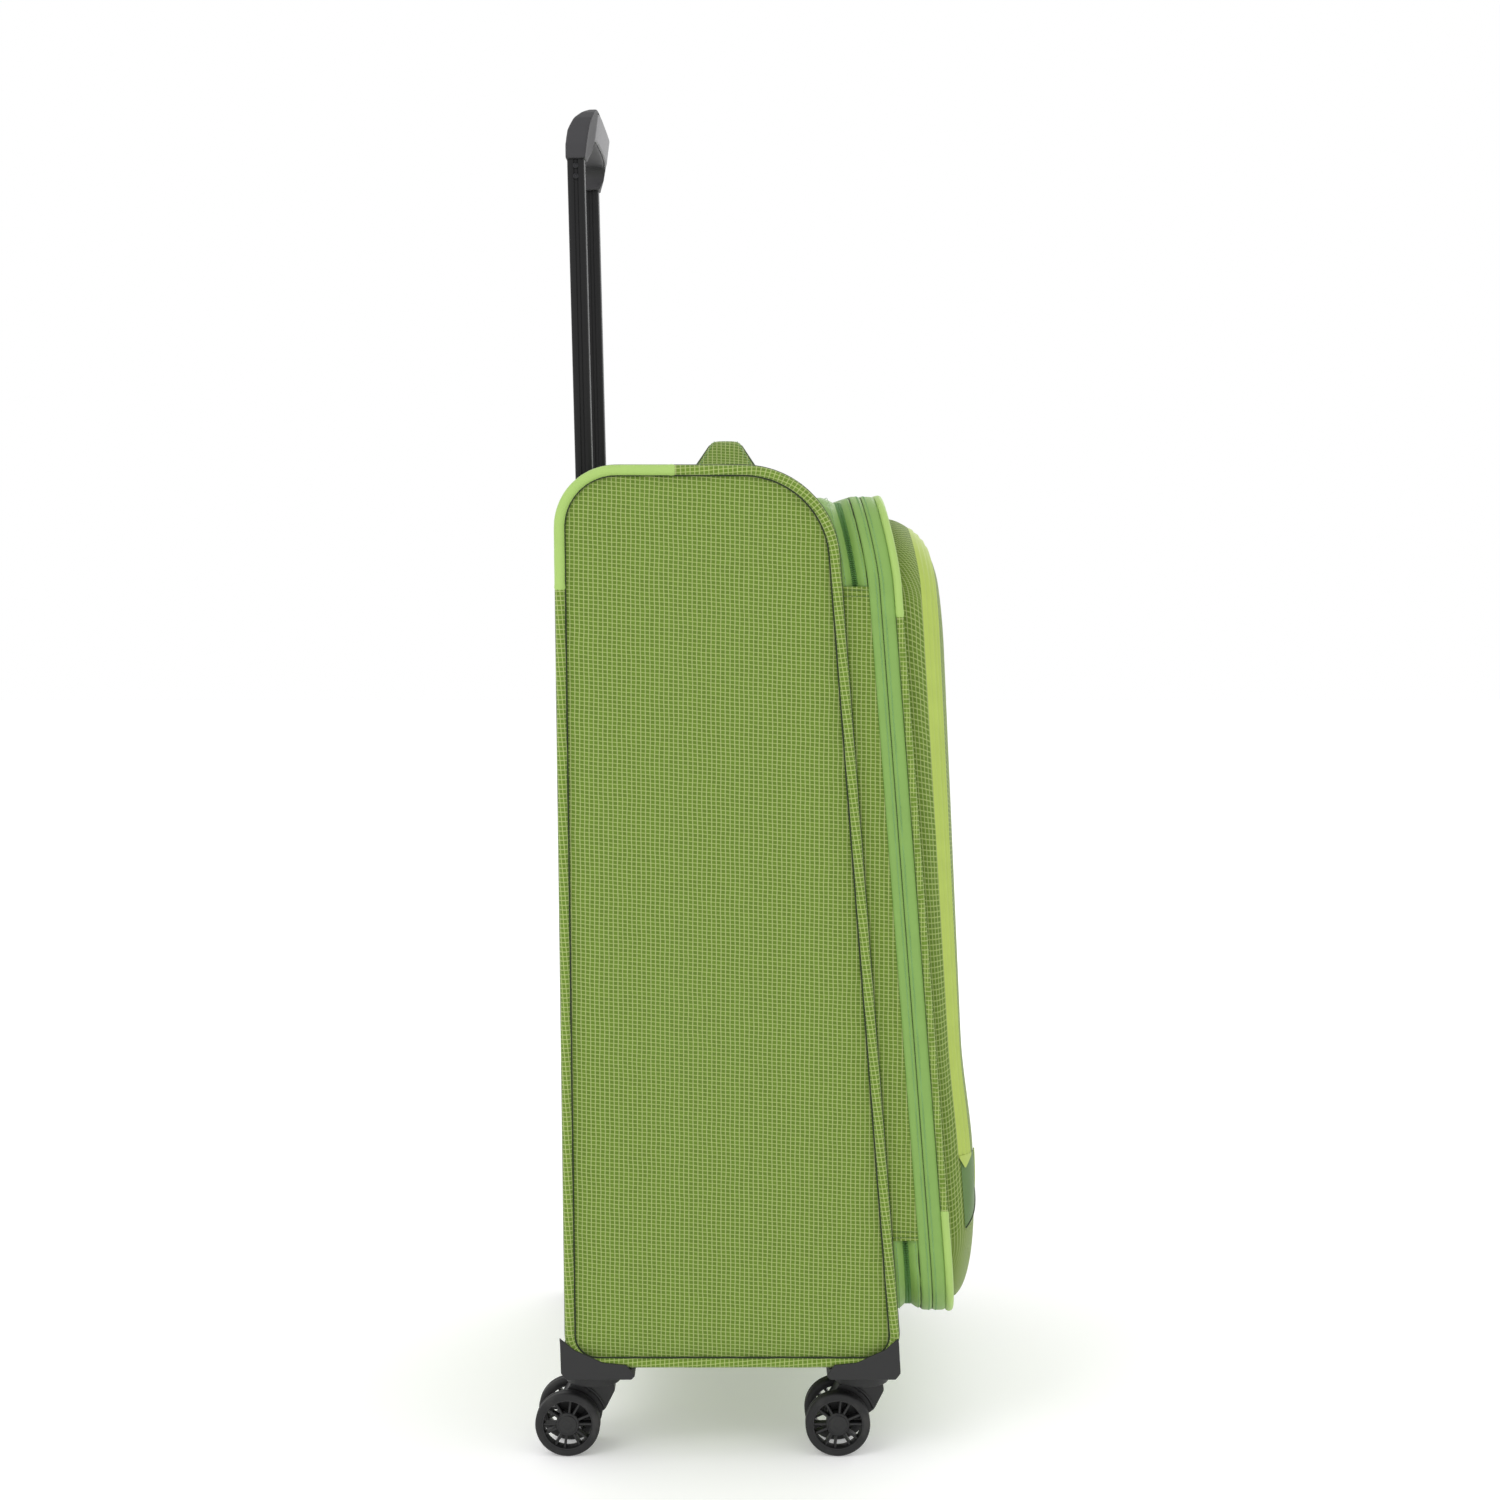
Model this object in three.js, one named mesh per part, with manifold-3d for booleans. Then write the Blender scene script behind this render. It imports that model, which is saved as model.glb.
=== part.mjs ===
// Soft-sided four-wheel suitcase, in millimetres.
// +Z is up, +X is the front (the lid and its pocket), and the lid hinges along the -Y side.
import * as THREE from 'three';
import { mergeVertices } from 'three/addons/utils/BufferGeometryUtils.js';
import Module from 'manifold-3d';

const wasm = await Module();
wasm.setup();

// Body: a box with a wedge-shaped side, deeper at the foot than at the top.
const BODY_WIDTH = 490;
const BODY_HEIGHT = 714;
const BODY_DEPTH_FOOT = 273;
const BODY_DEPTH_TOP = 216;
const CORNER_TOP_BACK = 48;
const CORNER_TOP_FRONT = 75;
const CORNER_FOOT = 18;
const SHELL_WALL = 3;
const PIPING = 8;
const PANEL_RECESS = 1.5;
const WRAP_INSET = 1;
const LINING_WALL = 1.5;
const LINING_CLEARANCE = 1.2;
const LINING_RIM = 2;

// Lid: a shallow tray on the sloping front of the body, made of bands stacked outwards.
const LID_SIDE_INSET = 8;
const LID_FOOT_RISE = 30.5;
const LID_TOP_DROP = 24;
const LID_CORNER = 60;
const LID_WALL = 3;
const CASE_TAPE = 10;
const LID_TAPE = 10;
const REAR_BAND = 9;
const FRONT_BAND = 11;
const LID_PIPING = 6;
const LID_PANEL = 3;
const MESH_SETBACK = 5;
const MESH_CLEARANCE = 2;
const LID_BEND = 8;
const LID_BEND_LENGTH = 68;
const TAPE_WALL = 2;
const TAPE_INSET = 2;
const HINGE_INSET = 0.5;
const GUSSET_WALL = 3;
const OPENING_RIM = 14;
const HINGE_FOOT_RISE = 72;
const HINGE_TOP_DROP = 71;
const HINGE_CLEARANCE = 1.5;

// Pocket: a bulging shell on the lid, with a zipped flap above a fixed lower part.
const POCKET_INSET_SIDE = 12;
const POCKET_INSET_FOOT = 6;
const POCKET_INSET_TOP = 12;
const POCKET_DEPTH_FOOT = 26;
const POCKET_DEPTH_TOP = 37;
const POCKET_ROUND_SIDE = 42;
const POCKET_ROUND_FOOT = 84;
const POCKET_ROUND_TOP = 52;
const POCKET_CORNER = 62;
const POCKET_WALL = 2.5;
const POCKET_CROWN = 5;
const FLAP_FOOT_RISE = 133.5;
const ZIP_BAND_FROM = 0.5;
const ZIP_BAND_TO = 0.86;

// Casters: twin wheels on a swivelling yoke under each corner shoe.
const WHEEL_DIAMETER = 52;
const WHEEL_WIDTH = 13;
const WHEEL_GAP = 25;
const WHEEL_WINDOW_RADIUS = 20;
const WHEEL_HUB_RADIUS = 9.5;
const SPOKE_WIDTH = 2.2;
const SPOKE_PAIR_ANGLE = 23;
const YOKE_CLEARANCE = 1.2;
const AXLE_DIAMETER = 6;
const CASTER_TRAIL = 19.6;
const CASTER_FROM_SIDE = 37;
const CASTER_FROM_BACK = 25.5;
const CASTER_FROM_FRONT = 31;
const SWIVEL_CLEARANCE = 3.5;
const BOSS_HEIGHT = 12.5;
const BOSS_RADIUS = 22;
const NECK_DIAMETER = 18;
const SHOE_SOLE = 8;
const SHOE_WALL = 3.2;
const SHOE_LENGTH = 60;
const SHOE_REACH = 66;
const SHOE_SHOULDER_DROP = 15;
const SHOE_TAB_CUT = 7;
const SHOE_CHAMFER = 5;

// Telescopic handle: two tubes a side, a grip with a push button, and a bezel in the top corner.
const TROLLEY_SPACING = 200;
const TROLLEY_FROM_BACK = 15;
const TROLLEY_LEAN = 1.2;
const TROLLEY_OUT = 251;
const TROLLEY_TRAVEL = 245;
const TROLLEY_OVERLAP = 220;
const INNER_TUBE_DEEP = 14;
const INNER_TUBE_WIDE = 19;
const INNER_TUBE_WALL = 1.6;
const TUBE_CLEARANCE = 0.6;
const OUTER_TUBE_WALL = 1.4;
const GRIP_HEIGHT = 44;
const GRIP_BAR = 25;
const GRIP_BEHIND = 1;
const GRIP_CORNER = 32;
const BUTTON_LENGTH = 46;
const BUTTON_WIDE = 10;
const BUTTON_TRAVEL = 3.5;
const BUTTON_FORWARD = 10;
const BUTTON_DEPTH = 9;
const BUTTON_PROUD = 1.2;
const BEZEL_WALL = 7;
const BEZEL_BORDER = 16;
const BEZEL_PROUD = 0.5;
const TUBE_TO_BEZEL = 2;
const TUBE_FROM_FOOT = 8;
const TUBE_CORNER = 3;
const GROOVE_DEPTH = 0.8;
const GROOVE_WIDTH = 2.8;
const FOOT_BORDER = 4;
const FOOT_WALL = 1;
const FOOT_FLOOR = 6.5;
const FOOT_SOCKET = 14;
const GRIP_SIDE = 2;
const FACE_WALL = 2;
const FACE_END = 6;
const FACE_TOP_EDGE = 4;

// Side outline of the grip from the foot of its back: forward, up and corner radius.
const GRIP_PROFILE = [
  [0, 0, 1], [16, 0, 1], [28.7, 24, 5], [28.7, 37, 4], [25.5, 43.4, 3], [21, 44, 5],
  [14, 40.8, 10], [7, 34.8, 12], [2, 24, 14], [0.2, 12, 14],
];

// Front of the grip from above: share of its half width, and how far it stands before its back.
const GRIP_BOW = [[1, 22.4], [0.94, 23], [0.86, 24.4], [0.76, 26.2], [0.62, 27.9], [0.42, 28.8], [0, 29.2]];
const GRIP_SLANT = 0.15;

// Carry handles: a padded strap on wide sewn ends.
const HANDLE_LENGTH = 204;
const HANDLE_WIDTH = 26;
const HANDLE_END_WIDTH = 52;
const HANDLE_END_LENGTH = 30;
const HANDLE_RISE = 25;
const HANDLE_THICK = 7;
const TOP_HANDLE_X = -5;
const SIDE_HANDLE_X = -25;

// Combination lock and zip pulls, on the side opposite the hinge.
const LOCK_LENGTH = 78;
const LOCK_WIDTH = 32;
const LOCK_HEIGHT = 9;
const LOCK_FROM_FRONT = 10;
const DIAL_RADIUS = 4.5;
const DIAL_WIDTH = 4.5;
const DIAL_PITCH = 9;
const PULL_LENGTH = 30;
const PULL_WIDTH = 9;
const PULL_THICK = 2.2;
const PULL_END = 1;
const SLIDER_SIZE = 9;
const SLIDER_HEIGHT = 5;

const GAP = 0.4;
const FAR = 1000;
const ROUND_STEPS = 6;

// Levels and places that follow from the sizes above.
const wheelRadius = WHEEL_DIAMETER / 2;
const soleBottom = WHEEL_DIAMETER + SWIVEL_CLEARANCE + BOSS_HEIGHT;
const bodyBottom = soleBottom + SHOE_SOLE;
const bodyTop = bodyBottom + BODY_HEIGHT;
const bodyMiddle = (bodyBottom + bodyTop) / 2;
const backX = -BODY_DEPTH_FOOT / 2;
const side = BODY_WIDTH / 2;
const slope = (BODY_DEPTH_FOOT - BODY_DEPTH_TOP) / BODY_HEIGHT;
const lean = Math.atan(slope);
const lidBottom = bodyBottom + LID_FOOT_RISE;
const lidTop = bodyTop - LID_TOP_DROP;
const hingeLow = lidBottom + HINGE_FOOT_RISE;
const hingeHigh = lidTop - HINGE_TOP_DROP;
const flapLow = lidBottom + FLAP_FOOT_RISE;
const caseTapeTop = CASE_TAPE;
const lidTapeTop = caseTapeTop + LID_TAPE;
const rearBandTop = lidTapeTop + REAR_BAND;
const frontBandTop = rearBandTop + FRONT_BAND;

const MATERIALS = {
  fabric: [0x7f9f33, 0.85, 0],
  satin: [0x6fae45, 0.5, 0],
  piping: [0x93c75a, 0.55, 0],
  lime: [0xbfdc5e, 0.55, 0],
  black: [0x1d1d1f, 0.5, 0],
  grey: [0x55565a, 0.45, 0],
  steel: [0xb9bcc0, 0.3, 1],
  tube: [0x232325, 0.4, 0.6],
  lining: [0x8d9096, 0.9, 0],
  mesh: [0x2a2b2e, 0.95, 0],
};

// --- Outlines -----------------------------------------------------------------------------

// Rounds each corner of a polygon with its own radius and returns the points.
function roundedOutline(corners, radii, steps = ROUND_STEPS) {
  const points = [];
  corners.forEach((corner, i) => {
    const before = corners[(i + corners.length - 1) % corners.length];
    const after = corners[(i + 1) % corners.length];
    const toBefore = before.clone().sub(corner).normalize();
    const toAfter = after.clone().sub(corner).normalize();
    const half = toBefore.angleTo(toAfter) / 2;
    const radius = Math.max(radii[i], GAP);
    const centre = toBefore.clone().add(toAfter).normalize().multiplyScalar(radius / Math.sin(half)).add(corner);
    const start = corner.clone().addScaledVector(toBefore, radius / Math.tan(half)).sub(centre);
    const sweep = Math.PI - 2 * half;
    for (let k = 0; k <= steps; k += 1) {
      const turn = start.clone().rotateAround(new THREE.Vector2(), (sweep * k) / steps);
      points.push(turn.add(centre));
    }
  });
  return points;
}

function roundedBox(x0, y0, x1, y1, radius, steps = ROUND_STEPS) {
  const corners = [[x0, y0], [x1, y0], [x1, y1], [x0, y1]].map(([x, y]) => new THREE.Vector2(x, y));
  return roundedOutline(corners, [radius, radius, radius, radius], steps);
}

// Front of the body at a height, and a level of the lid stack above it.
function frontX(z) {
  return backX + BODY_DEPTH_FOOT - slope * (z - bodyBottom);
}

function levelX(level, z) {
  const over = Math.max(0, z - (lidTop - LID_BEND_LENGTH)) / LID_BEND_LENGTH;
  return frontX(z) + level - LID_BEND * over ** 1.4;
}

// Side outline of the body (x along, z up), moved inwards by an inset.
function bodyOutline(inset, backInset = [inset, inset]) {
  const low = bodyBottom + inset;
  const high = bodyTop - inset;
  const front = inset / Math.cos(lean);
  const corners = [
    new THREE.Vector2(backX + backInset[0], low),
    new THREE.Vector2(frontX(low) - front, low),
    new THREE.Vector2(frontX(high) - front, high),
    new THREE.Vector2(backX + backInset[1], high),
  ];
  const radii = [CORNER_FOOT, CORNER_FOOT, CORNER_TOP_FRONT, CORNER_TOP_BACK].map((r) => r - inset);
  return roundedOutline(corners, radii);
}

// Face outline of the lid (y along, z up), moved inwards by an inset.
function lidOutline(inset) {
  const half = side - LID_SIDE_INSET - inset;
  return roundedBox(-half, lidBottom + inset, half, lidTop - inset, LID_CORNER - inset, 8);
}

// --- Solids -------------------------------------------------------------------------------

function solid(geometry) {
  const plain = geometry.clone();
  plain.deleteAttribute('normal');
  plain.deleteAttribute('uv');
  const merged = mergeVertices(plain, 1e-4);
  return new wasm.Manifold(new wasm.Mesh({
    numProp: 3,
    vertProperties: new Float32Array(merged.attributes.position.array),
    triVerts: new Uint32Array(merged.index.array),
  }));
}

function toGeometry(body) {
  const mesh = body.getMesh();
  const geometry = new THREE.BufferGeometry();
  geometry.setAttribute('position', new THREE.BufferAttribute(mesh.vertProperties, 3));
  geometry.setIndex(new THREE.BufferAttribute(mesh.triVerts, 1));
  geometry.computeVertexNormals();
  return geometry;
}

// Extrudes an (x, z) outline across the body, from y0 to y1.
function prismY(points, y0, y1, holes = []) {
  const shape = new THREE.Shape(points);
  holes.forEach((hole) => shape.holes.push(new THREE.Path(hole)));
  const geometry = new THREE.ExtrudeGeometry(shape, { depth: y1 - y0, bevelEnabled: false });
  geometry.rotateX(Math.PI / 2);
  geometry.translate(0, y1, 0);
  return solid(geometry);
}

// Extrudes a (y, z) outline along x, from x0 to x1.
function prismX(points, x0, x1) {
  const geometry = new THREE.ExtrudeGeometry(new THREE.Shape(points), { depth: x1 - x0, bevelEnabled: false });
  const turn = new THREE.Matrix4().makeBasis(
    new THREE.Vector3(0, 1, 0),
    new THREE.Vector3(0, 0, 1),
    new THREE.Vector3(1, 0, 0),
  );
  geometry.applyMatrix4(turn);
  geometry.translate(x0, 0, 0);
  return solid(geometry);
}

// Extrudes an (x, y) outline upwards, from z0 to z1.
function prismZ(points, z0, z1) {
  const geometry = new THREE.ExtrudeGeometry(new THREE.Shape(points), { depth: z1 - z0, bevelEnabled: false });
  geometry.translate(0, 0, z0);
  return solid(geometry);
}

function block(x0, x1, y0, y1, z0, z1) {
  const geometry = new THREE.BoxGeometry(x1 - x0, y1 - y0, z1 - z0);
  geometry.translate((x0 + x1) / 2, (y0 + y1) / 2, (z0 + z1) / 2);
  return solid(geometry);
}

// Cylinders with a flat facet at the lowest point of the rim.
function rodY(radius, y0, y1, segments, x = 0, z = 0) {
  const geometry = new THREE.CylinderGeometry(radius, radius, y1 - y0, segments);
  geometry.rotateY(Math.PI / segments);
  geometry.translate(x, (y0 + y1) / 2, z);
  return solid(geometry);
}

function rodZ(radius, z0, z1, segments, x = 0, y = 0) {
  const geometry = new THREE.CylinderGeometry(radius, radius, z1 - z0, segments);
  geometry.rotateX(Math.PI / 2);
  geometry.translate(x, y, (z0 + z1) / 2);
  return solid(geometry);
}

// Closed ring with an eight-sided section, round an outline of the body side.
function pipingRing(y0) {
  const bevel = PIPING * 0.3;
  const shape = new THREE.Shape(bodyOutline(0));
  shape.holes.push(new THREE.Path(bodyOutline(PIPING)));
  const geometry = new THREE.ExtrudeGeometry(shape, {
    depth: PIPING - 2 * bevel,
    bevelThickness: bevel,
    bevelSize: bevel,
    bevelOffset: -bevel,
    bevelSegments: 1,
  });
  geometry.rotateX(Math.PI / 2);
  geometry.translate(0, y0 + PIPING - bevel, 0);
  return solid(geometry);
}

// Slab between two levels of the lid stack, following the slope and the bent-back top.
function levelSlab(level0, level1, z0 = lidBottom - PIPING, z1 = lidTop + PIPING) {
  const heights = [z0];
  const bendStart = lidTop - LID_BEND_LENGTH;
  for (let k = 0; k < ROUND_STEPS; k += 1) {
    heights.push(bendStart + ((lidTop - bendStart) * k) / ROUND_STEPS);
  }
  heights.push(z1);
  const used = heights.filter((z, i) => z >= z0 && z <= z1 && (i === 0 || z > z0));
  const near = used.map((z) => new THREE.Vector2(levelX(level0, z), z));
  const far = used.map((z) => new THREE.Vector2(levelX(level1, z), z));
  return prismY([...far, ...near.reverse()], -side - PIPING, side + PIPING);
}

// Ring of the lid outline between two insets, endless along x.
function lidRing(inset0, inset1) {
  return prismX(lidOutline(inset0), -FAR, FAR).subtract(prismX(lidOutline(inset1), -FAR, FAR));
}

function lidBand(level0, level1, inset0, inset1) {
  return levelSlab(level0, level1).intersect(lidRing(inset0, inset1));
}

// Skins a stack of equal-length outlines into one closed solid.
function loft(rings) {
  const count = rings[0].length;
  const positions = rings.flat().flatMap((p) => [p.x, p.y, p.z]);
  const index = [];
  for (let k = 0; k + 1 < rings.length; k += 1) {
    for (let i = 0; i < count; i += 1) {
      const a = k * count + i;
      const b = k * count + ((i + 1) % count);
      index.push(a, b, a + count, b, b + count, a + count);
    }
  }
  const cap = THREE.ShapeUtils.triangulateShape(rings[0].map((p) => new THREE.Vector2(p.y, p.z)), []);
  const last = (rings.length - 1) * count;
  cap.forEach(([a, b, c]) => index.push(c, b, a, last + a, last + b, last + c));
  const geometry = new THREE.BufferGeometry();
  geometry.setAttribute('position', new THREE.Float32BufferAttribute(positions, 3));
  geometry.setIndex(index);
  return solid(geometry);
}

// --- Scene graph --------------------------------------------------------------------------

const suitcase = new THREE.Group();

function addPiece(name, body, look, parent = suitcase) {
  const [color, roughness, metalness] = MATERIALS[look];
  const mesh = new THREE.Mesh(toGeometry(body), new THREE.MeshStandardMaterial({ color, roughness, metalness }));
  mesh.name = name;
  parent.add(mesh);
  return mesh;
}

// --- Trolley axis, shared by the body cut-outs and the handle ------------------------------

const trolleyX = backX + TROLLEY_FROM_BACK;
const trolleyLean = THREE.MathUtils.degToRad(TROLLEY_LEAN);
const outerDeep = INNER_TUBE_DEEP + 2 * (TUBE_CLEARANCE + OUTER_TUBE_WALL);
const outerWide = INNER_TUBE_WIDE + 2 * (TUBE_CLEARANCE + OUTER_TUBE_WALL);
const bezelBottom = bodyTop - CORNER_TOP_BACK - BEZEL_BORDER / 2;
const tubeTop = bezelBottom - TUBE_TO_BEZEL;
const tubeBottom = bodyBottom + SHELL_WALL + TUBE_FROM_FOOT;
const bezelHalf = TROLLEY_SPACING / 2 + outerWide / 2 + BEZEL_BORDER;

// Puts a solid made upright about x = 0 onto the leaning axis, which crosses trolleyX at bodyTop.
function ontoTrolleyAxis(body) {
  return body.translate([0, 0, -bodyTop]).rotate([0, -TROLLEY_LEAN, 0]).translate([trolleyX, 0, bodyTop]);
}

// Front edge of the outer tubes at a height, which the lining clears.
function tubeFrontX(z) {
  return trolleyX + Math.tan(trolleyLean) * (bodyTop - z) + outerDeep / 2;
}

// --- Body ---------------------------------------------------------------------------------

function bezelRegion(clearance) {
  const x1 = trolleyX + outerDeep / 2 + BEZEL_BORDER / 2 + clearance;
  const half = bezelHalf + clearance;
  return block(backX - PIPING, x1, -half, half, bezelBottom - clearance, bodyTop + PIPING);
}

function buildBody() {
  const wrapSide = side - PIPING - GAP;
  const opening = prismX(lidOutline(OPENING_RIM), backX + BODY_DEPTH_TOP / 2, FAR);
  const wrap = prismY(bodyOutline(WRAP_INSET), -wrapSide, wrapSide, [bodyOutline(WRAP_INSET + SHELL_WALL)])
    .subtract(opening)
    .subtract(bezelRegion(GAP));
  addPiece('body_wrap', wrap, 'fabric');

  const panelOut = side - PANEL_RECESS;
  const panelIn = panelOut - SHELL_WALL;
  const panelOutline = bodyOutline(PIPING + GAP);
  addPiece('side_panel_hinge', prismY(panelOutline, -panelOut, -panelIn), 'fabric');
  addPiece('side_panel_lock', prismY(panelOutline, panelIn, panelOut), 'fabric');
  addPiece('side_piping_hinge', pipingRing(-side), 'piping');
  addPiece('side_piping_lock', pipingRing(side - PIPING), 'piping');

  const liningInset = WRAP_INSET + SHELL_WALL + LINING_CLEARANCE;
  const liningSide = wrapSide - LINING_CLEARANCE;
  const backFoot = tubeFrontX(bodyBottom) - backX + LINING_CLEARANCE;
  const backHead = tubeFrontX(bodyTop) - backX + LINING_CLEARANCE + BEZEL_WALL;
  const outer = bodyOutline(liningInset, [backFoot, backHead]);
  const inner = bodyOutline(liningInset + LINING_WALL, [backFoot + LINING_WALL, backHead + LINING_WALL]);
  const lining = prismY(outer, -liningSide, liningSide)
    .subtract(prismY(inner, -liningSide + LINING_WALL, liningSide - LINING_WALL))
    .subtract(prismX(lidOutline(OPENING_RIM + LINING_RIM), backX + BODY_DEPTH_TOP / 2, FAR));
  addPiece('lining', lining, 'lining');
}

// --- Corner shoes and casters -------------------------------------------------------------

// Pivot places: back pair and front pair, each near both sides.
function casterPlaces() {
  const y = side - CASTER_FROM_SIDE;
  const back = backX + CASTER_FROM_BACK;
  const front = frontX(bodyBottom) - CASTER_FROM_FRONT;
  return [
    { name: 'back_hinge', x: back, y: -y, atBack: true },
    { name: 'back_lock', x: back, y, atBack: true },
    { name: 'front_hinge', x: front, y: -y, atBack: false },
    { name: 'front_lock', x: front, y, atBack: false },
  ];
}

// Outline of a shoe seen from the side, from the outer end (t = 0) inwards.
function shoeOutline(atBack) {
  const outerX = (z) => (atBack ? backX + 1 : frontX(z) - 1);
  const inwards = atBack ? 1 : -1;
  const tall = bodyBottom + CORNER_FOOT + SHOE_SOLE;
  const low = bodyBottom + SHOE_SOLE / 2;
  const shoulder = tall - SHOE_SHOULDER_DROP;
  const steps = [[0, tall], [12, shoulder + 5], [24, shoulder], [34, low + 2], [SHOE_LENGTH - SHOE_TAB_CUT, low]];
  const points = steps.map(([t, z]) => new THREE.Vector2(outerX(z) + inwards * t, z));
  points.push(new THREE.Vector2(outerX(soleBottom) + inwards * SHOE_LENGTH, soleBottom + SHOE_WALL));
  points.push(new THREE.Vector2(outerX(soleBottom) + inwards * (SHOE_LENGTH - 3), soleBottom));
  points.push(new THREE.Vector2(outerX(soleBottom) + inwards * SHOE_CHAMFER, soleBottom));
  points.push(new THREE.Vector2(outerX(soleBottom) + inwards, soleBottom + SHOE_CHAMFER));
  return atBack ? points.reverse() : points;
}

function buildShoe(place) {
  const out = place.y < 0 ? -1 : 1;
  const outerY = out * (side + SHOE_WALL);
  const innerY = out * (side - SHOE_REACH);
  const y0 = Math.min(outerY, innerY);
  const y1 = Math.max(outerY, innerY);
  const body = prismY(bodyOutline(-GAP), -side - GAP, side + GAP);
  const shoe = prismY(shoeOutline(place.atBack), y0, y1)
    .add(rodZ(BOSS_RADIUS, soleBottom - BOSS_HEIGHT, soleBottom + 1, 28, place.x, place.y))
    .subtract(body)
    .subtract(rodZ(NECK_DIAMETER / 2 + GAP, 0, soleBottom + 2, 20, place.x, place.y));
  addPiece(`shoe_${place.name}`, shoe, 'black');
}

// Wheel with six pairs of spokes between the hub and the tyre.
function wheelShape() {
  const shape = new THREE.Shape();
  const rim = 36;
  for (let k = 0; k < rim; k += 1) {
    const angle = ((k + 0.5) / rim) * 2 * Math.PI;
    const radius = wheelRadius / Math.cos(Math.PI / rim);
    shape[k === 0 ? 'moveTo' : 'lineTo'](radius * Math.cos(angle), radius * Math.sin(angle));
  }
  shape.closePath();
  const pairPitch = Math.PI / 3;
  const narrow = THREE.MathUtils.degToRad(SPOKE_PAIR_ANGLE);
  const spokeHalf = SPOKE_WIDTH / 2;
  for (let pair = 0; pair < 6; pair += 1) {
    const first = pair * pairPitch;
    [[first, first + narrow], [first + narrow, first + pairPitch]].forEach(([from, to]) => {
      const inner = spokeHalf / WHEEL_HUB_RADIUS;
      const outer = spokeHalf / WHEEL_WINDOW_RADIUS;
      const middle = (from + to) / 2;
      const points = [
        [WHEEL_HUB_RADIUS, from + inner],
        [WHEEL_WINDOW_RADIUS, from + outer],
        [WHEEL_WINDOW_RADIUS, middle],
        [WHEEL_WINDOW_RADIUS, to - outer],
        [WHEEL_HUB_RADIUS, to - inner],
      ].map(([r, a]) => new THREE.Vector2(r * Math.cos(a), r * Math.sin(a)));
      shape.holes.push(new THREE.Path(points));
    });
  }
  const bore = new THREE.Path();
  bore.absarc(0, 0, AXLE_DIAMETER / 2 + GAP, 0, 2 * Math.PI, true);
  shape.holes.push(bore);
  return shape;
}

function buildWheelSolid() {
  const depth = WHEEL_WIDTH;
  const geometry = new THREE.ExtrudeGeometry(wheelShape(), { depth, bevelEnabled: false, curveSegments: 6 });
  geometry.rotateX(Math.PI / 2);
  geometry.translate(0, depth / 2, 0);
  return solid(geometry);
}

// Yoke between the twin wheels: an arched arm from the swivel neck down to the axle.
function buildYokeSolid() {
  const half = WHEEL_GAP / 2 - YOKE_CLEARANCE;
  const deck = soleBottom - BOSS_HEIGHT - GAP;
  const axleX = -CASTER_TRAIL;
  const arm = [
    new THREE.Vector2(axleX - 8, wheelRadius - 4),
    new THREE.Vector2(axleX + 6, wheelRadius - 8),
    new THREE.Vector2(NECK_DIAMETER / 2 + 1, deck - 21),
    new THREE.Vector2(BOSS_RADIUS - 4, deck - 5),
    new THREE.Vector2(BOSS_RADIUS - 5, deck),
    new THREE.Vector2(-BOSS_RADIUS + 4, deck),
    new THREE.Vector2(axleX - 8, wheelRadius + 14),
  ];
  const outline = roundedOutline(arm, [6, 8, 10, 3, 1, 4, 7], 4);
  return prismY(outline, -half, half)
    .add(rodZ(NECK_DIAMETER / 2, deck - 2, soleBottom + 1, 20))
    .subtract(rodY(AXLE_DIAMETER / 2 + GAP, -side, side, 16, axleX, wheelRadius));
}

function buildCasters() {
  const wheelSolid = buildWheelSolid();
  const yokeSolid = buildYokeSolid();
  const axleHalf = WHEEL_GAP / 2 + WHEEL_WIDTH - 1;
  const axleSolid = rodY(AXLE_DIAMETER / 2, -axleHalf, axleHalf, 16);
  casterPlaces().forEach((place) => {
    buildShoe(place);
    const caster = new THREE.Group();
    caster.position.set(place.x, place.y, 0);
    suitcase.add(caster);
    addPiece(`yoke_${place.name}`, yokeSolid, 'black', caster);
    const axle = addPiece(`axle_${place.name}`, axleSolid, 'steel', caster);
    axle.position.set(-CASTER_TRAIL, 0, wheelRadius);
    const outwards = Math.sign(place.y);
    [['outer', outwards], ['inner', -outwards]].forEach(([which, way]) => {
      const wheel = addPiece(`wheel_${which}_${place.name}`, wheelSolid, 'black', caster);
      wheel.position.set(-CASTER_TRAIL, (way * (WHEEL_GAP + WHEEL_WIDTH)) / 2, wheelRadius);
    });
  });
}

// --- Telescopic handle --------------------------------------------------------------------

// Tube section with a shallow groove down each outer side, or a plain one.
function tubeOutline(deep, wide, groove) {
  const plain = roundedBox(-deep / 2, -wide / 2, deep / 2, wide / 2, TUBE_CORNER, 3);
  if (!groove) return plain;
  const half = GROOVE_WIDTH / 2;
  const cut = (way) => [
    new THREE.Vector2(half * way, (-wide / 2) * way),
    new THREE.Vector2(half * way, (-wide / 2 + groove) * way),
    new THREE.Vector2(-half * way, (-wide / 2 + groove) * way),
    new THREE.Vector2(-half * way, (-wide / 2) * way),
  ];
  const perSide = plain.length / 4;
  return [
    ...plain.slice(0, perSide),
    ...cut(1).reverse(),
    ...plain.slice(perSide, 3 * perSide),
    ...cut(-1).reverse(),
    ...plain.slice(3 * perSide),
  ];
}

const gripBack = -INNER_TUBE_DEEP / 2 - GRIP_BEHIND;

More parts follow.
